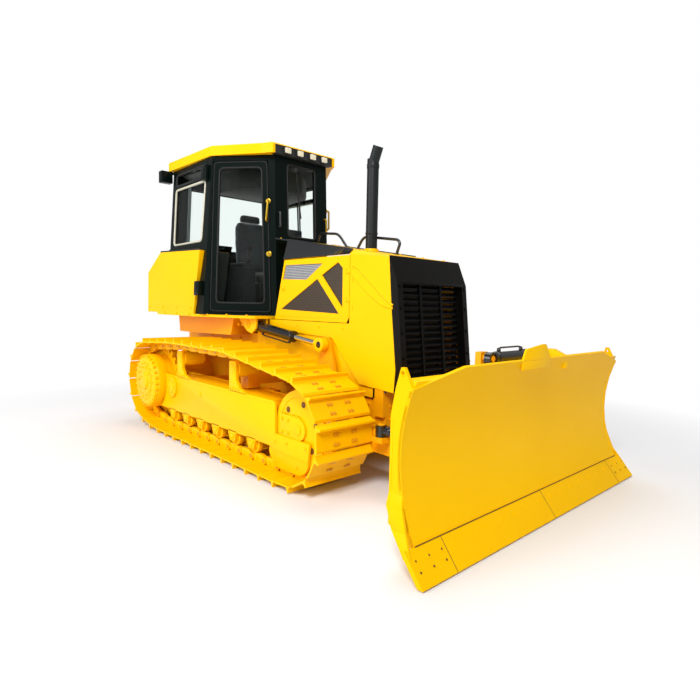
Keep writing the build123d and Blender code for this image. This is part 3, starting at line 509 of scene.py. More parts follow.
def dress_nodes(nodes: Mapping[str, bpy.types.Object]) -> None:
    """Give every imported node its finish.

    Args:
        nodes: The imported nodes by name.
    """
    for name, node in nodes.items():
        finish = next((f for start, f in NODE_FINISHES if name.startswith(start)), BODY_ENAMEL)
        node.data.materials.clear()
        node.data.materials.append(finish.make())


# ------------------------------------------------------------------ shapes
class Shape:
    """One mesh put together from solids; sizes and places are in millimetres."""

    def __init__(self, name: str) -> None:
        """Start an empty mesh.

        Args:
            name: Name of the object that it becomes.
        """
        self.name = name
        self.bm = bmesh.new()

    def _soften(self, verts: Iterable[bmesh.types.BMVert], width: float) -> None:
        """Round the edges of what was just made.

        Args:
            verts: Corners of the new solid.
            width: Width of the rounding in millimetres; none at 0.
        """
        if width <= 0:
            return
        chosen = set(verts)
        edges = [
            e for e in self.bm.edges
            if e.verts[0] in chosen and e.verts[1] in chosen and len(e.link_faces) == 2
            and e.calc_face_angle(0.0) > SHARP_ANGLE
        ]
        bmesh.ops.bevel(
            self.bm, geom=edges, offset=width * MM, offset_type="OFFSET", affect="EDGES",
            segments=2, profile=0.5, material=-1,
        )

    def box(self, low: Point, high: Point, soft: float = 0.0) -> "Shape":
        """Add a block between two corners.

        Args:
            low: Lowest corner.
            high: Highest corner.
            soft: Rounding of its edges.

        Returns:
            This shape.
        """
        low_v, high_v = Vector(low) * MM, Vector(high) * MM
        size = high_v - low_v
        place = Matrix.Translation((low_v + high_v) / 2) @ Matrix.Diagonal((*size, 1.0))
        made = bmesh.ops.create_cube(self.bm, size=1.0, matrix=place)
        self._soften(made["verts"], soft)
        return self

    def rod(
        self, start: Point, end: Point, radius: float, end_radius: float | None = None,
        sides: int = 24, soft: float = 0.0,
    ) -> "Shape":
        """Add a round bar, a cone or, with few sides, a bolt head.

        Args:
            start: Centre of the first face.
            end: Centre of the last face.
            radius: Radius at the start.
            end_radius: Radius at the end where it differs.
            sides: Number of sides.
            soft: Rounding of its edges.

        Returns:
            This shape.
        """
        a, b = Vector(start) * MM, Vector(end) * MM
        turn = (b - a).to_track_quat("Z", "Y").to_matrix().to_4x4()
        place = Matrix.Translation((a + b) / 2) @ turn
        made = bmesh.ops.create_cone(
            self.bm, cap_ends=True, segments=sides, radius1=radius * MM,
            radius2=(radius if end_radius is None else end_radius) * MM, depth=(b - a).length, matrix=place,
        )
        self._soften(made["verts"], soft)
        return self

    def ball(self, centre: Point, radius: float) -> "Shape":
        """Add a ball.

        Args:
            centre: Its middle.
            radius: Its radius.

        Returns:
            This shape.
        """
        place = Matrix.Translation(Vector(centre) * MM)
        bmesh.ops.create_uvsphere(self.bm, u_segments=20, v_segments=12, radius=radius * MM, matrix=place)
        return self

    def plate(self, outline: Sequence[Point], step: Point, soft: float = 0.0) -> "Shape":
        """Add a flat plate with its own outline.

        Args:
            outline: Corners of one face, in order.
            step: From that face to the opposite one.
            soft: Rounding of its edges.

        Returns:
            This shape.
        """
        base = [self.bm.verts.new(Vector(p) * MM) for p in outline]
        face = self.bm.faces.new(base)
        grown = bmesh.ops.extrude_face_region(self.bm, geom=[face])["geom"]
        tops = [g for g in grown if isinstance(g, bmesh.types.BMVert)]
        bmesh.ops.translate(self.bm, verts=tops, vec=Vector(step) * MM)
        self._soften([*base, *tops], soft)
        return self

    def bolts(self, places: Iterable[Point], axis: Point, radius: float, height: float) -> "Shape":
        """Add hexagonal bolt heads, each on a washer.

        Args:
            places: Where each head sits.
            axis: Direction that the heads point.
            radius: Radius over the corners.
            height: Height of a head.

        Returns:
            This shape.
        """
        step = Vector(axis).normalized()
        for place in places:
            seat = Vector(place)
            self.rod(seat - step * 2, seat + step * height * 0.25, radius * 1.35, sides=20)
            self.rod(seat, seat + step * height, radius, sides=6)
        return self

    def pierced(self, outline: Sequence[Point], holes: Sequence[Sequence[Point]], step: Point) -> "Shape":
        """Add a flat plate with openings cut through it.

        Args:
            outline: Corners of one face, in order.
            holes: Corners of each opening, in order.
            step: From that face to the opposite one.

        Returns:
            This shape.
        """
        edges = []
        for loop in (outline, *holes):
            ring = [self.bm.verts.new(Vector(p) * MM) for p in loop]
            edges += [self.bm.edges.new((a, b)) for a, b in zip(ring, ring[1:] + ring[:1])]
        filled = bmesh.ops.triangle_fill(self.bm, use_beauty=True, use_dissolve=False, edges=edges)["geom"]
        faces = [g for g in filled if isinstance(g, bmesh.types.BMFace)]
        grown = bmesh.ops.extrude_face_region(self.bm, geom=faces)["geom"]
        tops = [g for g in grown if isinstance(g, bmesh.types.BMVert)]
        bmesh.ops.translate(self.bm, verts=tops, vec=Vector(step) * MM)
        return self

    def raw(self, finish: "Finish") -> bpy.types.Object:
        """Turn the mesh into an object that nothing carries yet.

        Args:
            finish: Its surface.

        Returns:
            The object.
        """
        bmesh.ops.recalc_face_normals(self.bm, faces=self.bm.faces)
        for face in self.bm.faces:
            face.smooth = True
        for edge in self.bm.edges:
            if len(edge.link_faces) == 2 and edge.calc_face_angle(0.0) > SHARP_ANGLE:
                edge.smooth = False
        mesh = bpy.data.meshes.new(self.name)
        self.bm.to_mesh(mesh)
        self.bm.free()
        mesh.materials.append(finish.make())
        piece = bpy.data.objects.new(self.name, mesh)
        bpy.context.scene.collection.objects.link(piece)
        return piece

    def done(self, finish: "Finish", body: str) -> bpy.types.Object:
        """Turn the mesh into an object that rides on a body.

        Args:
            finish: Its surface.
            body: Body of the machine that carries it.

        Returns:
            The object.
        """
        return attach(self.raw(finish), body)


def ring_angles(count: int) -> list[float]:
    """Evenly spaced angles round a circle.

    Args:
        count: How many.

    Returns:
        The angles in radians.
    """
    return [math.tau * k / count for k in range(count)]


def ordered(a: Point, b: Point) -> tuple[Point, Point]:
    """Corners of the box between two points.

    Args:
        a: One point.
        b: The opposite point.

    Returns:
        Lowest and highest corner.
    """
    return tuple(map(min, a, b)), tuple(map(max, a, b))


def pipe(
    name: str, path: Sequence[Point], radius: float, finish: "Finish", body: str,
    closed: bool = False, corner: float = 0.0,
) -> bpy.types.Object:
    """Bent tube, hose or seal along a path, in millimetres.

    Args:
        name: Name of the object.
        path: Points that it passes.
        radius: Radius of the tube.
        finish: Its surface.
        body: Body that carries it.
        closed: Whether it joins its own start.
        corner: Radius of its bends.

    Returns:
        The object.
    """
    steps = 5                     # straight pieces in each bend
    points = [Vector(p) for p in path]
    count = len(points)
    bent: list[Vector] = []
    for i, point in enumerate(points):
        inner = closed or 0 < i < count - 1
        if corner <= 0 or not inner:
            bent.append(point)
            continue
        before, after = points[i - 1] - point, points[(i + 1) % count] - point
        reach = min(corner, before.length / 2.2, after.length / 2.2)
        a, b = point + before.normalized() * reach, point + after.normalized() * reach
        for k in range(steps + 1):
            t = k / steps
            bent.append(a * (1 - t) ** 2 + point * 2 * t * (1 - t) + b * t**2)
    curve = bpy.data.curves.new(name, "CURVE")
    curve.dimensions = "3D"
    curve.bevel_depth = radius * MM
    curve.bevel_resolution = 3
    curve.use_fill_caps = True
    line = curve.splines.new("POLY")
    line.points.add(len(bent) - 1)
    for spot, place in zip(line.points, bent):
        spot.co = (*(place * MM), 1.0)
    line.use_cyclic_u = closed
    line.use_smooth = True
    curve.materials.append(finish.make())
    piece = bpy.data.objects.new(name, curve)
    bpy.context.scene.collection.objects.link(piece)
    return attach(piece, body)


# ------------------------------------------------------------------ tracks
@dataclass(frozen=True)
class Link:
    """One link of a chain in side view, from its own pin to the next one's."""

    start: tuple[float, float]
    end: tuple[float, float]

    def direction(self) -> tuple[float, float]:
        """Unit step along the link."""
        length = math.dist(self.start, self.end)
        return (self.end[0] - self.start[0]) / length, (self.end[1] - self.start[1]) / length

    def at(self, share: float, height: float, y: float) -> Point:
        """Point beside the link.

        Args:
            share: Distance along it, as a share of its length.
            height: Height over its pin line, outwards.
            y: Place across the machine.

        Returns:
            The point.
        """
        tx, tz = self.direction()
        along = share * math.dist(self.start, self.end)
        return (self.start[0] + tx * along + -tz * height, y, self.start[1] + tz * along + tx * height)


@dataclass
class Tracks:
    """Both tracks: chains, rollers, frames and final drives, with their pins and bolts."""

    gauge: float = 1610.0
    pitch: float = 190.0
    half_link: float = 38.0
    plate: float = 12.0
    shoe_half: float = 260.0
    # shoe in side view: share of the link, height over the pin line
    shoe: tuple[tuple[float, float], ...] = (
        (-0.02, 34), (0.03, 38), (0.93, 38), (1.015, 27), (1.03, 35), (0.95, 50), (0.27, 50),
        (0.205, 62), (0.185, 90), (0.115, 90), (0.09, 62), (0.045, 48),
    )
    link: tuple[tuple[float, float], ...] = (
        (-0.10, 20), (-0.13, 0), (-0.10, -22), (0.10, -30), (0.24, -38), (0.76, -38), (0.84, -30), (0.86, 0),
        (0.80, 38), (0.06, 38),
    )
    rail_in: float = 62.0         # faces of the link plates from the track's middle
    rail_out: float = 98.0
    bush_radius: float = 29.0
    idler: Point = (820.0, 435.0, 345.0)
    sprocket: Point = (-1750.0, 505.0, 370.0)
    rise: Point = (-1490.0, 210.0, 120.0)
    carriers: tuple[Point, ...] = ((-1125.0, 796.0, 118.0), (-95.0, 790.0, 118.0))
    carrier_radius: float = 75.0
    post: float = 30.0            # thickness of a carrier's post
    frame_in: float = 668.0
    frame_out: float = 942.0
    frame_plate: float = 22.0
    frame_top: float = 610.0
    ledge_z: float = 358.0        # where the idler's fork slides
    fork_plates: tuple[float, ...] = (678.0, 920.0)
    guard_front: float = 970.0
    pivot: Point = (-1290.0, 488.0, 105.0)
    idler_disc: float = 276.0
    roller_z: float = 208.0
    roller_radius: float = 80.0
    roller_half: float = 114.0
    drum_radius: float = 285.0
    drum_y: float = 1005.0        # outer end of the drum from the centre plane
    hub_y: float = 1045.0         # face of the hub
    hub_radius: float = 250.0
    roller_x: tuple[float, ...] = (500.0, 200.0, -100.0, -400.0, -700.0, -1000.0, -1300.0)

    def pins(self) -> list[tuple[float, float]]:
        """Centres of the chain's pins in side view, evenly spaced round its path.

        Returns:
            Distance forward and height of each pin, in order.
        """
        rounds = (self.idler, self.rise, self.sprocket, *self.carriers)
        count = len(rounds)
        leave = []
        for i, (x1, z1, r1) in enumerate(rounds):
            x2, z2, r2 = rounds[(i + 1) % count]
            run = math.hypot(x2 - x1, z2 - z1)
            leave.append(math.atan2(z2 - z1, x2 - x1) + math.acos((r1 - r2) / run))
        path: list[tuple[float, float]] = []
        for i, (x, z, r) in enumerate(rounds):
            turn = (leave[i - 1] - leave[i]) % math.tau
            steps = max(2, int(turn * r / 4))
            for k in range(steps + 1):
                angle = leave[i - 1] - turn * k / steps
                path.append((x + r * math.cos(angle), z + r * math.sin(angle)))
        path.append(path[0])
        runs = [math.dist(a, b) for a, b in zip(path, path[1:])]
        links = round(sum(runs) / self.pitch)
        step = sum(runs) / links
        found, walked, k = [path[0]], 0.0, 0
        for target in (step * n for n in range(1, links)):
            while walked + runs[k] < target:
                walked += runs[k]
                k += 1
            share = (target - walked) / runs[k]
            (xa, za), (xb, zb) = path[k], path[k + 1]
            found.append((xa + (xb - xa) * share, za + (zb - za) * share))
        return found

    def chain(self, name: str, side: int) -> None:
        """Shoes, link plates, pins and bolts of one track.

        Args:
            name: Name of the side.
            side: Its sign along Y.
        """
        pins = self.pins()
        middle = side * self.gauge / 2
        shoes, heads = Shape(f"track_shoes_{name}"), Shape(f"shoe_bolts_{name}")
        plates, ends = Shape(f"track_links_{name}"), Shape(f"link_pins_{name}")
        face = self.half_link + self.plate
        low_y = middle - self.shoe_half
        for start, end in zip(pins, pins[1:] + pins[:1]):
            link = Link(start, end)
            (xa, za), (tx, tz) = start, link.direction()
            shoes.plate(
                [link.at(share, height, low_y) for share, height in self.shoe], (0, 2 * self.shoe_half, 0),
            )
            heads.bolts(
                [
                    link.at(share, face, middle + across)
                    for share in (0.42, 0.78)
                    for across in (-98, -68, 68, 98)
                ],
                (-tz, 0, tx), 11, 9,
            )
            for rail in (-1, 1):
                inner, outer = middle + rail * self.rail_in, middle + rail * self.rail_out
                plates.plate(
                    [link.at(share, height, inner) for share, height in self.link],
                    (0, rail * (self.rail_out - self.rail_in), 0), 2,
                )
                plates.rod((xa, outer - rail, za), (xa, outer + rail * 7, za), 31, sides=20, soft=2)
                x, z = (xa + end[0]) / 2 + tx * 20, (za + end[1]) / 2 + tz * 20
                plates.rod((x, outer - rail, z), (x, outer + rail * 4, z), 17, sides=14)
                ends.rod((xa, outer + rail * 6, za), (xa, outer + rail * 10, za), 18, sides=16)
            ends.rod((xa, middle - 64, za), (xa, middle + 64, za), self.bush_radius, sides=20)
        whole = plates.done(BODY_ENAMEL, "hull")
        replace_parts(whole, f"track_{name}")
        shoes.done(BODY_ENAMEL, "hull")
        heads.done(TRACK_BOLT, "hull")
        ends.done(LINK_STEEL, "hull")

    def rollers(self, name: str, side: int) -> None:
        """Bottom rollers between the side plates and the carriers on their posts.

        Args:
            name: Name of the side.
            side: Its sign along Y.
        """
        middle = side * self.gauge / 2
        wheels, posts = Shape(f"track_rollers_{name}"), Shape(f"carrier_posts_{name}")
        bottom, reach = self.roller_z, self.roller_half
        for x in self.roller_x:
            wheels.rod(
                (x, middle - reach, bottom), (x, middle + reach, bottom), self.roller_radius - 20, sides=40,
            )
            for across in (-84, 84):
                tread = middle + across
                wheels.rod(
                    (x, tread - 22, bottom), (x, tread + 22, bottom), self.roller_radius, sides=48, soft=3,
                )
        out = side * (self.frame_out - self.post)
        for x, z, _ in self.carriers:
            centre = z + 2
            cap = centre + 70
            wheels.rod(
                (x, middle - side * 105, centre), (x, out, centre), self.carrier_radius, sides=48, soft=4,
            )
            outline = (
                (-57, 600), (-57, cap - 14), (-43, cap), (43, cap),
                (57, cap - 14), (57, 700), (110, 640), (225, 610),
                (225, 600),
            )
            posts.plate([(x + dx, out, h) for dx, h in outline], (0, side * self.post, 0), 3)
            posts.rod((x, out + side * 29, centre), (x, out + side * 33, centre), 36, sides=32, soft=2)
            posts.bolts(
                [(x + dx, out + side * self.post, 628) for dx in (-35, 10, 55, 100)], (0, side, 0), 10, 8,
            )
        whole = wheels.done(BODY_ENAMEL, "hull")
        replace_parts(whole, f"rollers_{name}")
        posts.done(BODY_ENAMEL, "hull")

    def frame(self, name: str, side: int) -> None:
        """Bolts, plugs, covers and seams on one track frame.

        Args:
            name: Name of the side.
            side: Its sign along Y.
        """
        drive_x, drive_z, _ = self.sprocket
        pivot_x, pivot_z, pivot_r = self.pivot
        idler_x, idler_z, _ = self.idler
        arc = [
            (drive_x + 300 * math.cos(a), drive_z + 300 * math.sin(a))
            for a in (math.radians(-58 + 78.5 * k / 10) for k in range(11))
        ]
        corner = [
            (self.guard_front - 15 - 137 * (1 - math.cos(a)), 200 - 100 * math.sin(a))
            for a in (math.radians(15 * k) for k in range(7))
        ]
        outline = [
            *arc, (518, self.frame_top), (542, 586), (542, self.ledge_z),
            (self.guard_front, self.ledge_z), *corner,
            (550, 100), (500, 150), (500, 250),
        ]
        beam = Shape(f"frame_beam_{name}")
        thick = self.frame_plate
        for near in (self.frame_in, self.frame_out - thick):
            beam.plate([(x, side * near, z) for x, z in outline], (0, side * thick, 0), 2)
            for x in self.roller_x[1:]:
                drop = ((-70, 262), (-40, 166), (40, 166), (70, 262))
                beam.plate([(x + dx, side * near, z) for dx, z in drop], (0, side * thick, 0), 2)
        beam.box(*ordered((pivot_x, side * 689, 325), (490, side * 921, 606)), soft=3)
        for near in self.fork_plates:
            fork = ((594, 359), (594, 527), (830, 527), (850, 507), (850, 359))
            beam.plate([(x, side * near, z) for x, z in fork], (0, side * 12, 0), 2)
            inner, outer = side * (near + 1), side * (near + 11)
            beam.rod((idler_x, inner, idler_z), (idler_x, outer, idler_z), 82, sides=40, soft=2)
        beam.rod((pivot_x, side * 940, pivot_z), (pivot_x, side * 962, pivot_z), pivot_r, sides=56, soft=3)
        whole = beam.done(BODY_ENAMEL, "hull")
        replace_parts(whole, f"track_frame_{name}")
        out = side * self.frame_out
        up = (0, side, 0)
        trims = Shape(f"frame_trim_{name}")
        # plug over the frame's oil hole, and the pivot shaft's cover with its ring of bolts
        trims.rod((-700, out - side * 2, 493), (-700, out + side * 5, 493), 27, sides=32, soft=2)
        trims.rod(
            (pivot_x, out + side * 18, pivot_z), (pivot_x, out + side * 26, pivot_z), 62, sides=40, soft=3,
        )
        ring = [
            (pivot_x + 86 * math.cos(a), out + side * 20, pivot_z + 86 * math.sin(a))
            for a in ring_angles(8)
        ]
        trims.bolts(ring, up, 8, 8)
        # front guard's seam strip and bolts
        trims.box(*ordered((515, out - side, 224), (958, out + side * 5, 232)), soft=1)
        trims.bolts(
            [(x, out, z) for x, z in ((548, 300), (700, 312), (930, 320), (560, 150), (830, 160))], up, 9, 8,
        )
        # fork block: end bolts and adjusting nuts
        fork = side * 932
        trims.bolts([(x, fork, z) for x in (625, 700) for z in (392, 492)], up, 11, 10)
        trims.bolts([(x, side * 926, 527) for x in (640, 740, 800)], (0, 0, 1), 9, 9)
        trims.rod((idler_x, fork - side, idler_z), (idler_x, fork + side * 7, idler_z), 38, sides=32, soft=3)
        # long weld line under the top edge, and end caps of the lower rollers
        trims.box(*ordered((-1440, out - side * 2, 584), (500, out + side * 2, 590)), soft=1)
        for x in self.roller_x[1:]:
            trims.rod(
                (x, out - side * 2, self.roller_z), (x, out + side * 6, self.roller_z), 26, sides=24, soft=2,
            )
            trims.bolts([(x - 46, out, 232), (x + 46, out, 232)], up, 8, 8)
        trims.done(BODY_ENAMEL, "hull")
        disc = Shape(f"idler_disc_{name}")
        disc.rod(
            (idler_x, side * 700, idler_z), (idler_x, side * 910, idler_z), self.idler_disc, sides=72, soft=4,
        )
        disc.done(BODY_ENAMEL, "hull")
        # lightening holes of the disc, drawn as shallow discs of painted shade for the dark inside each hole
        holes = Shape(f"idler_holes_{name}")
        face = side * 911
        for a in ring_angles(6):
            x, z = idler_x + 194 * math.cos(a + 0.32), idler_z + 194 * math.sin(a + 0.32)
            holes.rod((x, face - side * 3, z), (x, face + side * 1.5, z), 24, sides=28, soft=1)
        holes.done(SHADOW_PAINT, "hull")

    def final_drive(self, name: str, side: int) -> None:
        """Two rings of bolts and the cap of one final drive.

        Args:
            name: Name of the side.
            side: Its sign along Y.
        """
        x0, z0, _ = self.sprocket
        hub = Shape(f"final_drive_bolts_{name}")
        up = (0, side, 0)
        # steps of the hub: inner and outer distance, radii, sides and rounding
        for near, far, radius, end_radius, sides, soft in (
            (900, self.drum_y, self.drum_radius, self.drum_radius, 72, 4),
            (self.drum_y - 1, self.hub_y, self.drum_radius - 3, self.hub_radius, 72, 3),
            (self.hub_y - 2, self.hub_y + 7, 165, 165, 48, 4),
            (self.hub_y + 7, self.hub_y + 21, 96, 84, 40, 4),
        ):
            hub.rod((x0, side * near, z0), (x0, side * far, z0), radius, end_radius, sides=sides, soft=soft)
        # rings of bolts: radius, number, distance, size and height
        rings = ((267, 28, 1022, 13, 22), (196, 16, 1045, 9, 9), (146, 10, 1050, 8, 8))
        for radius, count, depth, size, height in rings:
            ring = [
                (x0 + radius * math.cos(a), side * depth, z0 + radius * math.sin(a))
                for a in ring_angles(count)
            ]
            hub.bolts(ring, up, size, height)
        hub.bolts([(x0 + 52, side * 1062, z0 - 48), (x0 - 60, side * 1062, z0 + 34)], up, 12, 10)
        hub.done(BODY_ENAMEL, "hull")

    def build(self) -> None:
        """Make the details of both sides."""
        for name, side in SIDES:
            self.chain(name, side)
            self.rollers(name, side)
            self.frame(name, side)
            self.final_drive(name, side)


# ------------------------------------------------------------------ hood
@dataclass
class Hood:
    """Screens, seams, latches, shoulder panels, handrails and header of the hood."""

    half: float = 420.0
    slope: float = math.tan(math.radians(9.4))
    front: Point = (1215.0, 1722.0)
    sheet: float = 8.0
    door_low: float = 1215.0
    door_top: float = 1749.0
    hinge: Point = (797.0, 421.0)
    hinges: tuple[Point, ...] = ((1385.0, 1420.0), (1605.0, 1640.0))
    bright: tuple[Point, ...] = ((-65, 1706), (462, 1697), (244, 1568), (-105, 1580))
    dark: tuple[tuple[Point, ...], ...] = (
        ((-130, 1308), (393, 1572), (672, 1285)), ((656, 1699), (712, 1650), (715, 1330), (452, 1601)),
    )
    creases: tuple[tuple[Point, ...], ...] = (
        ((833, 1666), (885, 1643), (1027, 1536), (1173, 1414), (1262, 1358)),
        ((825, 1596), (980, 1468), (1147, 1360), (1262, 1338)),
    )
    stack: Point = (485.0, 120.0)
    rail_y: float = 185.0
    rail_radius: float = 13.0
    fins: int = 40
    fin_pitch: float = 20.5

    def top(self, x: float) -> float:
        """Height of the sloping top at a station."""
        return self.front[1] + (self.front[0] - x) * self.slope

    def doors(self, name: str, side: int) -> None:
        """Screens, latch, hinge bolts and seams on one engine door.

        Args:
            name: Name of the side.
            side: Its sign along Y.
        """
        body = f"engine_door_{name}"
        skin = Shape(f"door_skin_{name}")
        low, top = self.door_low, self.door_top
        edge = ((-224, low), (-80, top), (794, top), (794, 1263), (766, low))
        face = side * self.half
        skin.pierced(
            [(x, face, z) for x, z in edge],
            [[(x, face, z) for x, z in hole] for hole in (self.bright, *self.dark)],
            (0, -side * self.sheet, 0),
        )
        # leaves of its hinges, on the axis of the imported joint
        x, y = self.hinge
        for z_low, z_high in self.hinges:
            skin.rod((x, side * y, z_low), (x, side * y, z_high), 8, sides=20, soft=1)
            skin.box(*ordered((752, side * 419, z_low), (790, side * 424, z_high)), soft=1)
        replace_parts(skin.done(BODY_ENAMEL, body), f"engine_door_{name}")
        back = side * (self.half - self.sheet)
        screen = Shape(f"bright_screen_{name}")
        thick = (0, -side * 2, 0)
        screen.plate([(x, back, z) for x, z in ((-110, 1566), (-72, 1716), (500, 1712), (260, 1560))], thick)
        screen.done(BRIGHT_MESH, body)
        shade = Shape(f"dark_screens_{name}")
        shade.plate([(x, back, z) for x, z in ((-160, 1296), (380, 1584), (700, 1270))], thick)
        shade.plate(
            [(x, back - side * 3, z) for x, z in ((430, 1606), (650, 1715), (728, 1660), (728, 1310))], thick,
        )
        shade.done(DARK_MESH, body)
        trim = Shape(f"door_trim_{name}")
        # latch: plate, barrel and key bar; then the pressed line along the door's foot
        trim.box(*ordered((-116, face - side, 1472), (-64, face + side * 4, 1526)), soft=2)
        trim.rod((-90, face + side * 3, 1499), (-90, face + side * 11, 1499), 15, sides=28, soft=2)
        trim.box(*ordered((-95, face + side * 10, 1480), (-85, face + side * 15, 1512)), soft=2)
        trim.box(*ordered((-180, face - side, 1246), (740, face + side * 2.5, 1251)), soft=1)
        trim.bolts([(768, side * 424, z) for z in (1390, 1415, 1610, 1635)], (0, side, 0), 6, 5)
        trim.done(BODY_ENAMEL, body)

    def cowl(self, name: str, side: int) -> None:
        """Pressed creases and bolts on one side of the cowl, and the dark shoulder behind it.

        Args:
            name: Name of the side.
            side: Its sign along Y.
        """
        out = side * self.half
        trim = Shape(f"cowl_trim_{name}")
        trim.bolts([(830, out, z) for z in (1326, 1342, 1546, 1562, 1650)], (0, side, 0), 6, 5)
        trim.bolts([(x, out, 1168) for x in (-180, 120, 420, 720)], (0, side, 0), 7, 6)
        trim.done(BODY_ENAMEL, "hull")
        for k, crease in enumerate(self.creases):
            path = [(x, out - side * 2.5, z) for x, z in crease]
            pipe(f"cowl_crease_{name}_{k}", path, 9, BODY_ENAMEL, "hull", corner=60)
        shoulder = Shape(f"dark_shoulder_{name}")
        low_y, top_y, count = side * 424.0, side * 372.5, 24
        stations = [-92 + (785 + 92) * k / count for k in range(count + 1)]
        for xa, xb in zip(stations, stations[1:]):
            strip = [
                (xa, low_y, 1757), (xb, low_y, 1757), (xb, top_y, self.top(xb) + 7),
                (xa, top_y, self.top(xa) + 7),
            ]
            shoulder.plate(strip, (0, side * 1.5, 1.5))
        shoulder.plate(
            [(x, side * 348.5, self.top(x) + up) for x, up in ((-328, -12), (-40, -12), (-40, 3), (-328, 3))],
            (0, side * 3, 0),
        )
        shoulder.done(SHOULDER_ENAMEL, "hull")

    def crown(self) -> None:
        """Top panel's bolts, handrails and the exhaust's collar."""
        trim = Shape("crown_trim")
        for x in (-250, 60, 330, 640, 900, 1120):
            z = self.top(x)
            trim.bolts([(x, side * 340, z) for side in (-1, 1)], (0, 0, 1), 8, 7)
        x, y = self.stack
        trim.rod((x, y, self.top(x) - 12), (x, y, self.top(x) + 16), 74, 66, sides=40, soft=4)
        trim.done(BODY_ENAMEL, "hull")
        rails = (
            ((-345, 2000), (-315, 2075), (-35, 2045), (95, self.top(95) - 4)),
            ((235, self.top(235) - 4), (320, 1990), (745, 1928), (770, 1895), (730, self.top(730) - 4)),
        )
        for k, rail in enumerate(rails):
            path = [(x, self.rail_y, z) for x, z in rail]
            pipe(f"hood_rail_{k}", path, self.rail_radius, RAIL_ENAMEL, "hull", corner=55)
        feet = Shape("hood_rail_feet")
        for x in (95, 235, 730):
            z = self.top(x)
            feet.rod((x, self.rail_y, z - 2), (x, self.rail_y, z + 8), 2 * self.rail_radius, sides=28, soft=2)
        feet.done(RAIL_ENAMEL, "hull")

    def nose(self) -> None:
        """Edges of the grille's frame, header lip, and bolts of the radiator guard."""
        trim = Shape("nose_trim")
        for y in (-391, 391):
            trim.bolts(
                [(1297 + (1530 - z) * 0.11, y, z) for z in (800, 980, 1160, 1340, 1500)], (1, 0, 0.11), 9, 8,
            )
        trim.box((1288, -380, 1528), (1301, 380, 1534), soft=2)
        trim.done(SURROUND_ENAMEL, "hull")
        # fins and shroud side plates in painted shade: they darken the nose behind the grille and hide the
        # lit inside of the cowl
        core = Shape("radiator_fins")
        for k in range(self.fins):
            z = 790 + k * self.fin_pitch
            core.box((1179, -395, z), (1186, 395, z + 4))
        shroud = ((1187, 700), (1236, 740), (1236, 1330), (1206, 1640), (1187, 1640))
        for side in (-1, 1):
            core.plate([(x, side * 401, z) for x, z in shroud], (0, side * 4, 0))
        core.box((1187, -400, 1592), (1204, 400, 1600))
        core.done(CORE_METAL, "hull")

    def build(self) -> None:
        """Make the hood's details."""
        for name, side in SIDES:
            self.doors(name, side)
            self.cowl(name, side)
        self.crown()
        self.nose()


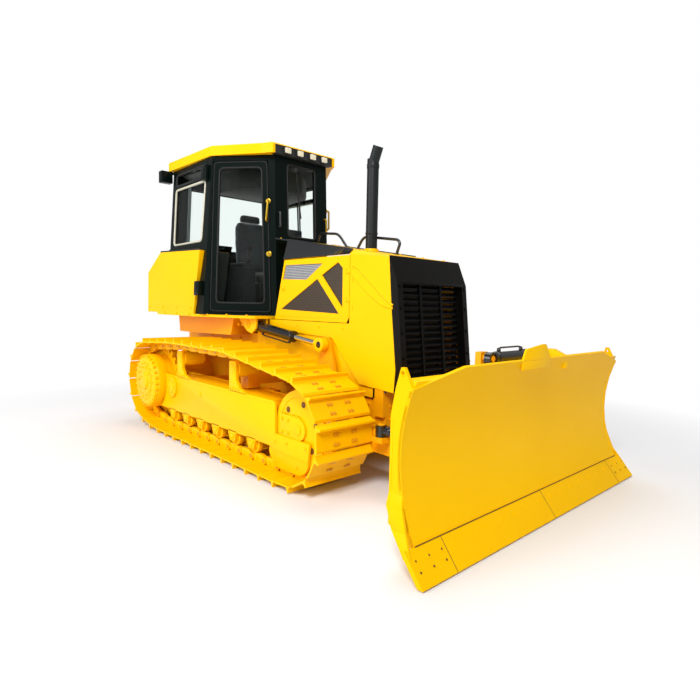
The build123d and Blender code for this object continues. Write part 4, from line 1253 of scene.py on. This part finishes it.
# ------------------------------------------------------------------ cab
@dataclass
class Cab:
    """Seals, handles, lamps, wiper, lining and interior of the cab."""

    floor_z: float = 1240.0
    top_z: float = 2765.0
    lower: tuple[Point, ...] = ((-340.0, 320.0), (-930.0, 785.0), (-1815.0, 765.0))
    upper: tuple[Point, ...] = ((-400.0, 315.0), (-890.0, 705.0), (-1765.0, 695.0))
    windshield_half: float = 170.0
    rear_glass_half: float = 540.0
    lamps_y: tuple[float, ...] = (-215.0, -68.0, 87.0, 232.0)
    hinges: tuple[Point, ...] = ((1425.0, 1565.0, 62.0), (2545.0, 2690.0, 40.0))
    wiper_y: float = -80.0
    wiper_z: float = 2660.0
    armrest_y: float = 335.0

    def edge(self, corner: int, z: float) -> tuple[float, float]:
        """Place of one of the cab's posts at a height, on its left side.

        Args:
            corner: Number of the post: front, middle or rear.
            z: Height.

        Returns:
            Distance forward and to the left.
        """
        share = (z - self.floor_z) / (self.top_z - self.floor_z)
        (xa, ya), (xb, yb) = self.lower[corner], self.upper[corner]
        return xa + (xb - xa) * share, ya + (yb - ya) * share

    def door_point(self, side: int, along: float, z: float, out: float = 0.0) -> Vector:
        """Point on a cab door's face.

        Args:
            side: Sign of the side along Y.
            along: Distance from the lower end of the rear post, along the door.
            z: Height.
            out: Distance in front of the face.

        Returns:
            The point.
        """
        (ax, ay), (bx, by) = self.lower[0], self.lower[1]
        length = math.dist((ax, ay), (bx, by))
        u = Vector(((ax - bx) / length, (ay - by) / length))
        w = Vector((-u.y, u.x))
        start = Vector((bx, by)) + u * along
        rear, front = Vector(self.edge(1, z)), Vector(self.edge(0, z))
        run = front - rear
        cross = run.x * w.y - run.y * w.x
        share = ((start.x - rear.x) * w.y - (start.y - rear.y) * w.x) / cross
        spot = rear + run * share + w * out
        return Vector((spot.x, side * spot.y, z))

    def wall_point(self, side: int, x: float, z: float, out: float = 0.0) -> Vector:
        """Point on a side wall of the cab.

        Args:
            side: Sign of the side along Y.
            x: Distance forward.
            z: Height.
            out: Distance in front of the wall.

        Returns:
            The point.
        """
        (xa, ya), (xb, yb) = self.edge(1, z), self.edge(2, z)
        y = ya + (yb - ya) * (x - xa) / (xb - xa) + out
        return Vector((x, side * y, z))

    def front_point(self, y: float, z: float, out: float = 0.0) -> Vector:
        """Point on the front face of the cab.

        Args:
            y: Place across the machine.
            z: Height.
            out: Distance in front of the face.

        Returns:
            The point.
        """
        return Vector((self.edge(0, z)[0] + out, y, z))

    def seals(self) -> None:
        """Pale window seals and dark rubber round the glass."""
        sill, head = self.floor_z + 22, self.top_z - 50
        for name, side in SIDES:
            body = f"cab_door_{name}"
            pane = [(135, sill + 95), (628, sill + 95), (580, head - 65), (160, head - 65)]
            path = [self.door_point(side, u, z, -3) for u, z in pane]
            pipe(f"door_seal_{name}", path, 9, RUBBER, body, True, 45)
            rim = [(74, sill + 14), (688, sill + 14), (630, head - 12), (106, head - 12)]
            path = [self.door_point(side, u, z, -1) for u, z in rim]
            pipe(f"door_rim_{name}", path, 5, RUBBER, body, True, 40)
            rail = self.top_z - 215
            top = self.top_z - 60
            for tag, finish, corners in (
                ("lower", SEAL_TRIM, [(-1690, 1965), (-1035, 1965), (-1000, rail), (-1680, rail)]),
                ("upper", RUBBER, [(-1680, rail + 40), (-995, rail + 40), (-985, top), (-1675, top)]),
            ):
                path = [self.wall_point(side, x, z, -2) for x, z in corners]
                pipe(f"side_seal_{tag}_{name}", path, 11, finish, "hull", True, 40)
            # sliding pane's meeting bars
            for x in (-1385, -1350):
                pane_bar = [self.wall_point(side, x, z, -12) for z in (1965, rail)]
                pipe(f"pane_bar_{name}_{-x}", pane_bar, 10, SEAL_DARK, "hull")
        half = self.windshield_half
        shield = [(-half, 2010), (half, 2010), (half, self.top_z - 65), (-half, self.top_z - 65)]
        pipe("windshield_seal", [self.front_point(y, z, -3) for y, z in shield], 9, RUBBER, "hull", True, 40)
        half = self.rear_glass_half
        rear = [(-half, 1960), (half, 1960), (half, self.top_z - 165), (-half, self.top_z - 165)]
        path = [Vector((self.edge(2, z)[0] + 2, y, z)) for y, z in rear]
        pipe("rear_seal", path, 9, RUBBER, "hull", True, 60)

    def handles(self) -> None:
        """Door levers, latches and grab handles."""
        for name, side in SIDES:
            body = f"cab_door_{name}"
            bends = ((655, 2330, 0), (655, 2330, 26), (640, 2150, 26), (640, 2140, 8))
            lever = [self.door_point(side, u, z, out) for u, z, out in bends]
            pipe(f"door_lever_{name}", lever, 10, GOLD_PLATE, body, False, 30)
            plate = Shape(f"door_latch_{name}")
            # rose of the lever and button of the lock: place, height over the door, radius, rounding
            for u, z, out, radius, soft in ((652, 2330, 8, 24, 2), (668, 1830, 14, 26, 3)):
                foot, top = self.door_point(side, u, z, -2), self.door_point(side, u, z, out)
                plate.rod(foot, top, radius, sides=28, soft=soft)
            plate.done(GOLD_PLATE, body)
            grab = [
                self.front_point(side * 285, z, out)
                for z, out in ((2230, -2), (2230, 36), (2090, 36), (2090, -2))
            ]
            pipe(f"grab_handle_{name}", grab, 9, GOLD_PLATE if side > 0 else RAIL_ENAMEL, "hull", False, 30)

    def lamps(self) -> None:
        """Four work lamps under the roof's front edge."""
        glass, rims = Shape("lamp_lenses"), Shape("lamp_rims")
        for y in self.lamps_y:
            rims.box((-336, y - 42, 2774), (-326, y + 42, 2840), soft=5)
            glass.box((-328, y - 34, 2781), (-320, y + 34, 2833), soft=8)
        rims.done(RAIL_ENAMEL, "hull")
        glass.done(LAMP_GLASS, "hull")

    def boxes(self) -> None:
        """Hinge covers behind the door posts, and the lamps at the rear top corners."""
        for name, side in SIDES:
            trim = Shape(f"cab_boxes_{name}")
            for low, high, reach in self.hinges:
                corners = ((-934, low), (-1040, low), (-1040, high), (-934, high))
                trim.plate([self.wall_point(side, x, z, -2) for x, z in corners], (0, side * reach, 0), 5)
            trim.box(*ordered((-1852, side * 706, 2640), (-1768, side * 830, 2762)), soft=5)
            trim.box(*ordered((-1790, side * 600, 2735), (-1770, side * 760, 2760)), soft=3)
            trim.done(CAB_ENAMEL, "hull")
            glass = Shape(f"rear_lamp_{name}")
            glass.box(*ordered((-1856, side * 722, 2656), (-1850, side * 816, 2746)), soft=2)
            glass.done(LAMP_GLASS, "hull")

    def wiper(self) -> None:
        """Wiper hung from the windshield's head."""
        motor = Shape("wiper_motor")
        y, z = self.wiper_y, self.wiper_z
        motor.rod(self.front_point(y, z, -2), self.front_point(y, z, 18), 24, sides=24, soft=3)
        motor.done(MOULDED_PLASTIC, "hull")
        arm = [self.front_point(y, z, 16), self.front_point(-66, 2540, 22), self.front_point(-30, 2290, 12)]
        pipe("wiper_arm", arm, 5, RUBBER, "hull")
        blade = [self.front_point(-58, 2460, 8), self.front_point(-20, 2200, 8)]
        pipe("wiper_blade", blade, 7, RUBBER, "hull")

    def interior(self) -> None:
        """Lining, console and levers that show through the glass."""
        lining = Shape("cab_lining")
        for half, low, high, soft in (
            (((-460, 270), (-880, 625), (-1715, 615)), 2708, 2758, 8),
            (((-600, 170), (-850, 420), (-1330, 470)), 2500, 2709, 30),
        ):
            plan = [*half, *((x, -y) for x, y in reversed(half))]
            lining.plate([(x, y, low) for x, y in plan], (0, 0, high - low), soft)
        # upright dark sheets behind the door glass: painted shade that hides the lit tank seen through it
        for side in (-1, 1):
            lining.plate(
                [(x, side * y, z) for x, y, z in (
                    (-1108, 474, 1262), (-964, 474, 1866), (-964, 704, 1866), (-1108, 738, 1262))],
                (3, 0, 0),
            )
        lining.done(LINING, "hull")
        panel = Shape("cab_console")
        panel.box((-535, -210, 1850), (-420, 210, 1990), soft=20)
        panel.box((-560, -120, 1985), (-530, 120, 2110), soft=12)
        for side in (-1, 1):
            middle = side * self.armrest_y
            panel.box((-1240, middle - 70, 1720), (-820, middle + 70, 1770), soft=18)
        panel.done(MOULDED_PLASTIC, "hull")
        levers = Shape("cab_levers")
        for side in (-1, 1):
            middle = side * self.armrest_y
            levers.ball((-802, middle, 1912), 30)
            levers.rod((-816, middle, 1760), (-816, middle, 1800), 34, 20, sides=24, soft=4)
        for y in (-90, 90):
            levers.rod((-600, y, 1300), (-560, y, 1420), 40, 30, sides=20, soft=6)
        levers.done(RUBBER, "hull")

    def build(self) -> None:
        """Make the cab's details."""
        self.seals()
        self.handles()
        self.lamps()
        self.boxes()
        self.wiper()
        self.interior()


# ------------------------------------------------------------------ seat
@dataclass
class Seat:
    """Operator's seat: a swelled cushion and a high back, turned a little to the machine's right."""

    voxel_mm: float = 14.0
    cap_mm: float = 20.0
    pressure: float = 4.0
    frames: int = 20              # steps for which the stuffing swells
    fill: float = 0.7

    def swell(self, piece: bpy.types.Object) -> None:
        """Remesh a block evenly and let it swell like stuffed cloth.

        Args:
            piece: The block, changed in place.
        """
        remesh = piece.modifiers.new("even", "REMESH")
        remesh.mode = "VOXEL"
        remesh.voxel_size = self.voxel_mm * MM
        self._bake(piece)
        start = [v.co.copy() for v in piece.data.vertices]
        cloth = piece.modifiers.new("stuffing", "CLOTH")
        cloth.settings.use_pressure = True
        cloth.settings.uniform_pressure_force = self.pressure
        cloth.settings.effector_weights.gravity = 0.0
        scene = bpy.context.scene
        for frame in range(1, self.frames + 1):
            scene.frame_set(frame)
        self._bake(piece)
        scene.frame_set(1)
        for vertex, first in zip(piece.data.vertices, start):
            move = vertex.co - first
            if move.length > self.cap_mm * MM:
                vertex.co = first + move.normalized() * self.cap_mm * MM
        smooth = piece.modifiers.new("smooth", "SUBSURF")
        smooth.levels = smooth.render_levels = 1
        for polygon in piece.data.polygons:
            polygon.use_smooth = True

    def _bake(self, piece: bpy.types.Object) -> None:
        """Apply a piece's modifiers to its mesh.

        Args:
            piece: The piece.
        """
        graph = bpy.context.evaluated_depsgraph_get()
        mesh = bpy.data.meshes.new_from_object(piece.evaluated_get(graph))
        piece.modifiers.clear()
        piece.data = mesh

    def build(self) -> None:
        """Make the cushions and stand them in for the plain seat."""
        base = Shape("seat_cushion").plate(
            [(-1300, y, z) for y, z in ((-225, 1575), (225, 1575), (225, 1665), (-225, 1665))],
            (490, 0, 0), 28,
        )
        back = Shape("seat_back").plate(
            [
                (-1292 - (z - 1690) * 0.11, y, z)
                for y, z in (
                    (-225, 1690), (225, 1690), (225, 2030), (196, 2200), (150, 2262),
                    (-170, 2262), (-212, 2200), (-228, 2030),
                )
            ],
            (72, 0, 8), 24,
        )
        rest = Shape("head_rest").plate(
            [(-1358, y, z) for y, z in ((-140, 2248), (120, 2248), (104, 2330), (-124, 2330))], (62, 0, 6), 22
        )
        pieces = []
        for shape in (base, back, rest):
            piece = shape.raw(SEAT_CLOTH)
            self.swell(piece)
            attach(piece, "hull")
            pieces.append(piece)
        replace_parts(pieces[1], "seat")
        seams = Shape("seat_frame")
        seams.box((-1290, -150, 1540), (-830, 150, 1572), soft=6)
        seams.done(MOULDED_PLASTIC, "hull")


# ------------------------------------------------------------------ blade and its frame
@dataclass
class Blade:
    """Curved blade with its bolts, welds and lugs, and small parts of its frame and yoke."""

    half: float = 1270.0
    curve: Point = (3021.0, 590.0)     # centre of the face's curve in side view
    curve_radius: float = 900.0
    top_z: float = 1038.0
    corner: Point = (900.0, 945.0)
    skin: float = 16.0
    edge_top: Point = (2227.7, 165.0)
    heel: Point = (2205.8, 147.5)
    tip: Point = (2350.0, 12.0)
    back_x: float = 2050.0
    yoke_z: float = 380.0
    yoke_pin_x: float = 1840.0
    ribs_y: tuple[float, ...] = (-840.0, -420.0, 0.0, 420.0, 840.0)
    seams_y: tuple[float, ...] = (-1060.0, 0.0, 1060.0)
    lug: Point = (2124.0, 1022.0)
    flat: float = 0.75            # share of the width over which the top edge is level
    arm_pin: Point = (-300.0, 450.0)
    arm_out: float = 532.0

    def skin_x(self, z: float, inset: float = 0.0) -> float:
        """Station of the curved mouldboard.

        Args:
            z: Height.
            inset: Distance behind its front face.

        Returns:
            Distance forward.
        """
        return self.curve[0] - math.sqrt((self.curve_radius + inset) ** 2 - (z - self.curve[1]) ** 2)

    def mouldboard(self) -> None:
        """Curved skin with its cut corners, ribs, boxes, boss, guard and lift eye."""
        board = Shape("mouldboard")
        made = bmesh.ops.create_grid(board.bm, x_segments=32, y_segments=18, size=0.5)
        corner_y, corner_z = self.corner
        wing = self.half - corner_y
        for vert in made["verts"]:
            share = abs(vert.co.x) * 2
            if share <= self.flat:
                y = share / self.flat * corner_y
            else:
                y = corner_y + (share - self.flat) / (1 - self.flat) * wing
            top = self.top_z - max(0.0, y - corner_y) / wing * (self.top_z - corner_z)
            z = self.edge_top[1] + (vert.co.y + 0.5) * (top - self.edge_top[1])
            vert.co = Vector((self.skin_x(z), math.copysign(y, vert.co.x), z)) * MM
        grown = bmesh.ops.extrude_face_region(board.bm, geom=list(board.bm.faces))["geom"]
        centre = Vector((self.curve[0], 0, self.curve[1])) * MM
        for vert in (g for g in grown if isinstance(g, bmesh.types.BMVert)):
            out = Vector((vert.co.x - centre.x, 0, vert.co.z - centre.z)).normalized()
            vert.co += out * self.skin * MM
        for y in self.ribs_y:
            curve = [(self.skin_x(z, 16), y - 8, z) for z in range(240, 871, 90)]
            board.plate([*curve, (2090, y - 8, 870), (2090, y - 8, 240)], (0, 16, 0), 1.5)
        # long boxes behind the face: station, low and high edge
        end, run = -1250, (0, 2500, 0)
        for back, low, high in ((self.back_x, 230, 350), (self.back_x + 40, 850, 985)):
            box = ((back, low), (back, high), (self.skin_x(high, 12), high), (self.skin_x(low, 12), low))
            board.plate([(x, end, z) for x, z in box], run, 2)
        foot = (
            (self.back_x, 240), (self.back_x, 230), self.heel,
            (self.skin_x(185, 12), 185), (self.skin_x(240, 12), 240),
        )
        board.plate([(x, end, z) for x, z in foot], run)
        # round boss that takes the yoke's tilt pin
        rim, bore = (
            [(2000, r * math.cos(a), self.yoke_z + r * math.sin(a)) for a in ring_angles(40)]
            for r in (95, 41)
        )
        board.pierced(rim, [bore], (52, 0, 0))
        board.rod((2052, 0, self.yoke_z), (self.skin_x(470, 12), 0, self.yoke_z), 95, sides=40)
        guard = (
            (-305, 978), (-305, 1038), (-268, 1106), (-182, 1116),
            (-56, 1131), (-20, 1130), (48, 1038), (48, 978),
        )
        board.plate([(2224, y, z) for y, z in guard], (14, 0, 0), 2)
        lift_eye = ((2055, 950), (2055, 1075), (2115, 1075), (2220, 1026), (2220, 950))
        board.plate([(x, 290, z) for x, z in lift_eye], (0, 80, 0), 3)
        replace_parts(board.done(BLADE_ENAMEL, "blade"), "blade")

    def end_plate(self, name: str, side: int) -> None:
        """End plate with its lifting lug and the flare down to the edge's end.

        Args:
            name: Name of the side.
            side: Its sign along Y.
        """
        plate = Shape(f"blade_side_{name}")
        outline = (
            (2112, 1050), (2080, 945), (self.back_x, 800), (self.back_x, 230), self.heel, self.edge_top,
            *[(self.skin_x(z) + 2, z) for z in (240, 320, 440, 560, 680, 800, 900, 938)], (2134, 1050),
        )
        lug_x, lug_z = self.lug
        hole = [(lug_x + 9 * math.cos(a), lug_z + 9 * math.sin(a)) for a in ring_angles(20)]
        inner = side * (self.half - 20)
        plate.pierced(
            [(x, inner, z) for x, z in outline], [[(x, inner, z) for x, z in hole]], (0, side * 20, 0)
        )
        # outer faces of the flare: height and distance from the centre plane, top to bottom
        steps = ((400, 1270), (334, 1290), (226, 1303), (115, 1342))
        for (z1, y1), (z2, y2) in zip(steps, steps[1:]):
            fronts = [self.skin_x(z) if z >= 165 else 2266.0 for z in (z1, z2)]
            backs = [self.back_x if z >= 230 else 2100.0 if z > 200 else 2225.0 for z in (z1, z2)]
            plate.plate(
                [(backs[0], side * y1, z1), (fronts[0], side * y1, z1), (fronts[1], side * y2, z2),
                 (backs[1], side * y2, z2)],
                (0, -side * 16, 0), 1,
            )
        plate.done(BLADE_ENAMEL, "blade")

    def edge(self) -> None:
        """Bolt heads that hold the cutting edge, strips and dots of painted shade in its seams and bolt
        holes, and the weld over it.
        """
        run = Vector((self.tip[0] - self.edge_top[0], 0, self.tip[1] - self.edge_top[1])).normalized()
        out = Vector((-run.z, 0, run.x))
        row = Vector((self.edge_top[0], 0, self.edge_top[1])) + run * 62
        heads = Shape("edge_bolts")
        steps = [75 + 150 * k for k in range(7)] + [1098, 1200, 1302]
        for side in (-1, 1):
            for y in steps:
                seat = Vector((row.x, side * y, row.z))
                heads.rod(seat - out * 2, seat + out * 2.5, 17, 15, sides=24)
                heads.rod(seat + out * 2, seat + out * 4, 8, sides=4)
        heads.done(BLADE_ENAMEL, "blade")
        # dark strips and square dots of painted shade: the shade in the edge's seams, in the end bits' bolt
        # holes and along its top joint
        seams = Shape("edge_seams")
        for y in self.seams_y:
            top = Vector((self.edge_top[0], y - 2, self.edge_top[1]))
            low = Vector((self.tip[0], y - 2, self.tip[1])) - run * 3
            seams.plate([top, low, low + Vector((0, 4, 0)), top + Vector((0, 4, 0))], out * 0.8)
        for side in (-1, 1):
            for y in steps[-3:]:
                for down in (62, 118):
                    seat = Vector((self.edge_top[0], side * y, self.edge_top[1])) + run * down
                    seams.rod(seat + out * 3, seat + out * 5, 7, sides=4)
        low, high = (self.edge_top[0] + 4, 162), (self.edge_top[0] + 1, 165.5)
        strip = ((low, -1266), (high, -1266), (high, 1266), (low, 1266))
        seams.plate([(x, y, z) for (x, z), y in strip], out * 1.2)
        seams.done(SHADOW_PAINT, "blade")
        weld = Shape("edge_weld")
        weld.rod((self.edge_top[0] - 2, -1268, 170), (self.edge_top[0] - 2, 1268, 170), 4, sides=10)
        weld.done(BLADE_ENAMEL, "blade")

    def ends(self, name: str, side: int) -> None:
        """Lug ring, weld and bolts on one end plate.

        Args:
            name: Name of the side.
            side: Its sign along Y.
        """
        out = side * self.half
        trim = Shape(f"blade_end_{name}")
        spots = [(self.lug[0] + 14 * math.cos(a), self.lug[1] + 14 * math.sin(a)) for a in ring_angles(18)]
        for (xa, za), (xb, zb) in zip(spots, spots[1:] + spots[:1]):
            trim.rod((xa, out + side * 0.5, za), (xb, out + side * 0.5, zb), 2.5, sides=6)
        trim.box(*ordered((2060, out - side, 420), (2067, out + side * 2, 780)), soft=1)
        trim.done(BLADE_ENAMEL, "blade")
        # bolts on the back of the lower box
        back = Shape(f"blade_back_{name}")
        back.bolts([(self.back_x, side * y, 290) for y in (220, 520, 820, 1120)], (-1, 0, 0), 14, 12)
        back.bolts([(self.back_x + 40, side * y, 918) for y in (160, 500, 940, 1180)], (-1, 0, 0), 12, 10)
        back.done(BLADE_ENAMEL, "blade")

    def guard(self) -> None:
        """Lifting eye and pin ends at the tilt cylinder, and the yoke's grease points."""
        trim = Shape("tilt_trim")
        trim.rod((2048, 330, 1048), (2056, 330, 1048), 30, sides=28, soft=2)
        spots = ((-240, 1060), (-140, 1090), (-30, 1094), (20, 1050))
        trim.bolts([(2222, y, z) for y, z in spots], (-1, 0, 0), 10, 9)
        trim.done(BLADE_ENAMEL, "blade")
        mast = Shape("yoke_trim")
        mast.bolts([(1985, y, z) for y in (-362, -318) for z in (560, 700, 840)], (1, 0, 0), 9, 8)
        mast.rod((1980, -340, 1048), (1976, -340, 1048), 26, sides=28)
        mast.done(CHASSIS_ENAMEL, "yoke")
        cap = Shape("yoke_pin_cap")
        x = self.yoke_pin_x
        cap.rod((x, 0, 487), (x, 0, 500), 48, sides=36, soft=3)
        cap.bolts([(x + 34 * math.cos(a), 34 * math.sin(a), 498) for a in ring_angles(6)], (0, 0, 1), 6, 5)
        cap.done(CHASSIS_ENAMEL, "blade_frame")

    def frame(self, name: str, side: int) -> None:
        """Pin caps and welds on one arm of the push frame.

        Args:
            name: Name of the side.
            side: Its sign along Y.
        """
        trim = Shape(f"arm_trim_{name}")
        out = side * self.arm_out
        x, z = self.arm_pin
        trim.rod((x, out, z), (x, out + side * 6, z), 62, sides=36, soft=3)
        ring = [(x + 46 * math.cos(a), out + side * 3, z + 46 * math.sin(a)) for a in ring_angles(6)]
        trim.bolts(ring, (0, side, 0), 7, 6)
        trim.rod((530, side * 428, 1030), (530, side * 434, 1030), 30, sides=28, soft=2)
        trim.rod((1340, side * 590, 519.5), (1340, side * 590, 527), 26, sides=28, soft=2)
        trim.box(*ordered((560, out - side * 2, 396), (1600, out + side * 2, 402)), soft=1)
        trim.done(CHASSIS_ENAMEL, "blade_frame")

    def build(self) -> None:
        """Make the blade's details."""
        self.mouldboard()
        self.edge()
        self.guard()
        for name, side in SIDES:
            self.end_plate(name, side)
            self.ends(name, side)
            self.frame(name, side)


# ------------------------------------------------------------------ hydraulics
@dataclass(frozen=True)
class Cylinder:
    """Gland, ports and steel line of one hydraulic cylinder, and the painted eye of its rod."""

    body: str
    rod: str
    pin: Point
    eye: Point
    length: float
    radius: float
    drop: Point
    across: Point
    eye_radius: float
    eye_half: float
    large: float = 42.0           # radius above which the rod's eye is painted like the body

    def at(self, distance: float, off: float = 0.0) -> Vector:
        """Point beside the cylinder's axis.

        Args:
            distance: Distance from its pin.
            off: Distance from the axis towards its ports.

        Returns:
            The point.
        """
        axis = (Vector(self.eye) - Vector(self.pin)).normalized()
        return Vector(self.pin) + axis * distance + Vector(self.drop).normalized() * off

    def build(self) -> None:
        """Make the cylinder's fittings."""
        end, r, at = Vector(self.eye), self.radius, self.at
        axis = (end - Vector(self.pin)).normalized()
        trim = Shape(f"{self.body}_gland")
        trim.rod(at(self.length - 34), at(self.length - 1), r + 6, sides=40, soft=3)
        trim.rod(at(self.length - 52), at(self.length - 40), r + 3, sides=8)
        trim.rod(at(62), at(74), r + 4, sides=40, soft=2)
        for d in (96, self.length - 70):
            trim.rod(at(d, r - 4), at(d, r + 16), 13, sides=20, soft=2)
            trim.rod(at(d, r + 12), at(d, r + 24), 11, sides=6)
        trim.done(CYLINDER_ENAMEL, self.body)
        line = [at(96, r + 20), at(120, r + 26), at(self.length - 100, r + 26), at(self.length - 70, r + 20)]
        pipe(f"{self.body}_line", line, 6, CYLINDER_ENAMEL, self.body, corner=24)
        step = Vector(self.across)
        painted = Shape(f"{self.rod}_eye")
        half = self.eye_half + 0.7
        painted.rod(end - step * half, end + step * half, self.eye_radius + 0.8, sides=48, soft=2)
        neck = self.eye_radius
        painted.rod(end - axis * (neck + 14), end - axis * (neck - 6), neck * 0.6, sides=32)
        painted.done(BODY_ENAMEL if r > self.large else CYLINDER_ENAMEL, self.rod)
        pins = Shape(f"{self.rod}_pin")
        pins.rod(end - step * (half + 1.2), end + step * (half + 1.2), neck * 0.5, sides=32, soft=1)
        pins.done(CYLINDER_ENAMEL if r > self.large else HARD_CHROME, self.rod)


# ------------------------------------------------------------------ body panels behind the hood
@dataclass
class Rear:
    """Details of the tanks, the deck, the hull and the exhaust."""

    tank_out: float = 800.0
    deck_top: float = 1240.0
    hull_half: float = 380.0
    lift_pin: Point = (-470.0, 1160.0)
    stack: Point = (485.0, 120.0)
    walls: tuple[Point, ...] = ((-540, 655), (1060, 655), (1060, 770), (610, 1140), (-540, 1140))

    def tanks(self, name: str, side: int) -> None:
        """Panel lines, lip, cap and bolts of one side tank.

        Args:
            name: Name of the side.
            side: Its sign along Y.
        """
        out = side * self.tank_out
        trim = Shape(f"tank_trim_{name}")
        panel = ((-1210, 1330), (-1105, 1800), (-1880, 1815), (-2170, 1640), (-2180, 1330))
        trim.bolts([(x, out, 1300) for x in (-1160, -1500, -1840, -2210)], (0, side, 0), 9, 8)
        trim.rod((-2010, side * 640, 1825), (-2030, side * 640, 1868), 55, sides=36, soft=4)
        trim.done(BODY_ENAMEL, "hull")
        path = [(x, out - side * 2.5, z) for x, z in panel]
        pipe(f"tank_panel_{name}", path, 4, BODY_ENAMEL, "hull", True, 50)
        lip = Shape(f"tank_lip_{name}")
        # rubber strip that stands on the tank's outer edge, and the one that lies against the cab
        stand = ((-970, 1868), (-1895, 1898), (-1895, 1914), (-970, 1884))
        lip.plate([(x, side * 792, z) for x, z in stand], (0, side * 8, 0), 2)
        lie = ((-985, 1869), (-1890, 1898), (-1890, 1902), (-985, 1873))
        lip.plate([(x, side * 730, z) for x, z in lie], (0, side * 60, 0))
        lip.done(RUBBER, "hull")

    def deck(self, name: str, side: int) -> None:
        """Step treads, bolts and pin caps of one side of the deck.

        Args:
            name: Name of the side.
            side: Its sign along Y.
        """
        tread = Shape(f"step_tread_{name}")
        corners = ((-420, 380), (-440, 600), (-1080, 772), (-940, 770), (-700, 560))
        tread.plate([(x, side * y, self.deck_top) for x, y in corners], (0, 0, 4))
        tread.done(TREAD_PLATE, "hull")
        trim = Shape(f"deck_trim_{name}")
        bolt_z = self.deck_top - 2
        edge = [(-380, 626), (-640, 687), (-900, 748)]
        trim.bolts([(x, side * (y + 4), bolt_z) for x, y in edge], (0.22, side, 0), 10, 8)
        trim.bolts([(x, side * 800, bolt_z) for x in (-1200, -1500, -1800)], (0, side, 0), 10, 8)
        x, z = self.lift_pin
        trim.rod((x, side * 563, z), (x, side * 571, z), 40, sides=32, soft=3)
        trim.bolts([(x, side * 569, z)], (0, side, 0), 12, 8)
        trim.bolts([(x - dx, side * 563, z - 10) for dx in (90, 160)], (0, side, 0), 10, 8)
        trim.done(BODY_ENAMEL, "hull")

    def hull(self) -> None:
        """Bolts of the nose guard, covers under the deck, drawbar bolts and the stack's clamps."""
        trim = Shape("hull_trim")
        trim.bolts([(1180, y, z) for y in (-330, -120, 120, 330) for z in (500, 600)], (1, 0, 0), 12, 10)
        trim.bolts([(-2190, y, z) for y in (-250, 250) for z in (470, 850)], (-1, 0, 0), 16, 14)
        for side in (-1, 1):
            out, up = side * self.hull_half, (0, side, 0)
            trim.bolts([(x, out, z) for x in (-1960, -1500, -900) for z in (900, 1000)], up, 12, 10)
            trim.bolts([(x, out, 600) for x in (-400, 0, 700, 1000)], up, 11, 9)
        trim.done(CHASSIS_ENAMEL, "hull")
        walls = Shape("hull_side_panels")
        for side in (-1, 1):
            walls.plate([(x, side * 397, z) for x, z in self.walls], (0, side * 7, 0), 2)
        walls.done(BODY_ENAMEL, "hull")
        stack = Shape("stack_trim")
        x, y = self.stack
        stack.rod((x, y, 1986), (x, y, 2004), 56, sides=40, soft=3)
        stack.rod((x, y, 2560), (x, y, 2600), 55, sides=40, soft=3)
        stack.done(EXHAUST_COATING, "hull")

    def build(self) -> None:
        """Make the details."""
        for name, side in SIDES:
            self.tanks(name, side)
            self.deck(name, side)
        self.hull()


def cylinders() -> list[Cylinder]:
    """Fittings of the lift, angle and tilt cylinders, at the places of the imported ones.

    Returns:
        One group for each cylinder.
    """
    made = []
    for name, side in SIDES:
        made.append(Cylinder(
            f"lift_barrel_{name}", f"lift_rod_{name}", (-400, side * 497, 1145), (550, side * 497, 1030),
            590, 45, (0, 0, -1), (0, 1, 0), 55, 30,
        ))
        made.append(Cylinder(
            f"angle_barrel_{name}", f"angle_rod_{name}", (1340, side * 590, 480), (1950, side * 350, 480),
            420, 36, (0, 0, 1), (0, 0, 1), 38, 25,
        ))
    made.append(Cylinder(
        "tilt_barrel", "tilt_rod", (2030, -340, 1035), (2030, 330, 1035),
        440, 40, (0, 0, 1), (1, 0, 0), 36, 18,
    ))
    return made


def main() -> None:
    """Load the frame, build each group and report."""
    logging.basicConfig(level=logging.INFO, format="%(message)s")
    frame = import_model()
    Studio().build()
    dress_nodes(frame["nodes"])
    log.info("dressed %d nodes", len(frame["nodes"]))
    groups: list[Any] = [Tracks(), Hood(), Cab(), Seat(), Blade(), Rear(), *cylinders()]
    for group in groups:
        before = set(bpy.data.objects)
        group.build()
        made = sorted(piece.name for piece in set(bpy.data.objects) - before)
        log.info("%s: %s", type(group).__name__, ", ".join(made))


if __name__ == "__main__":
    main()
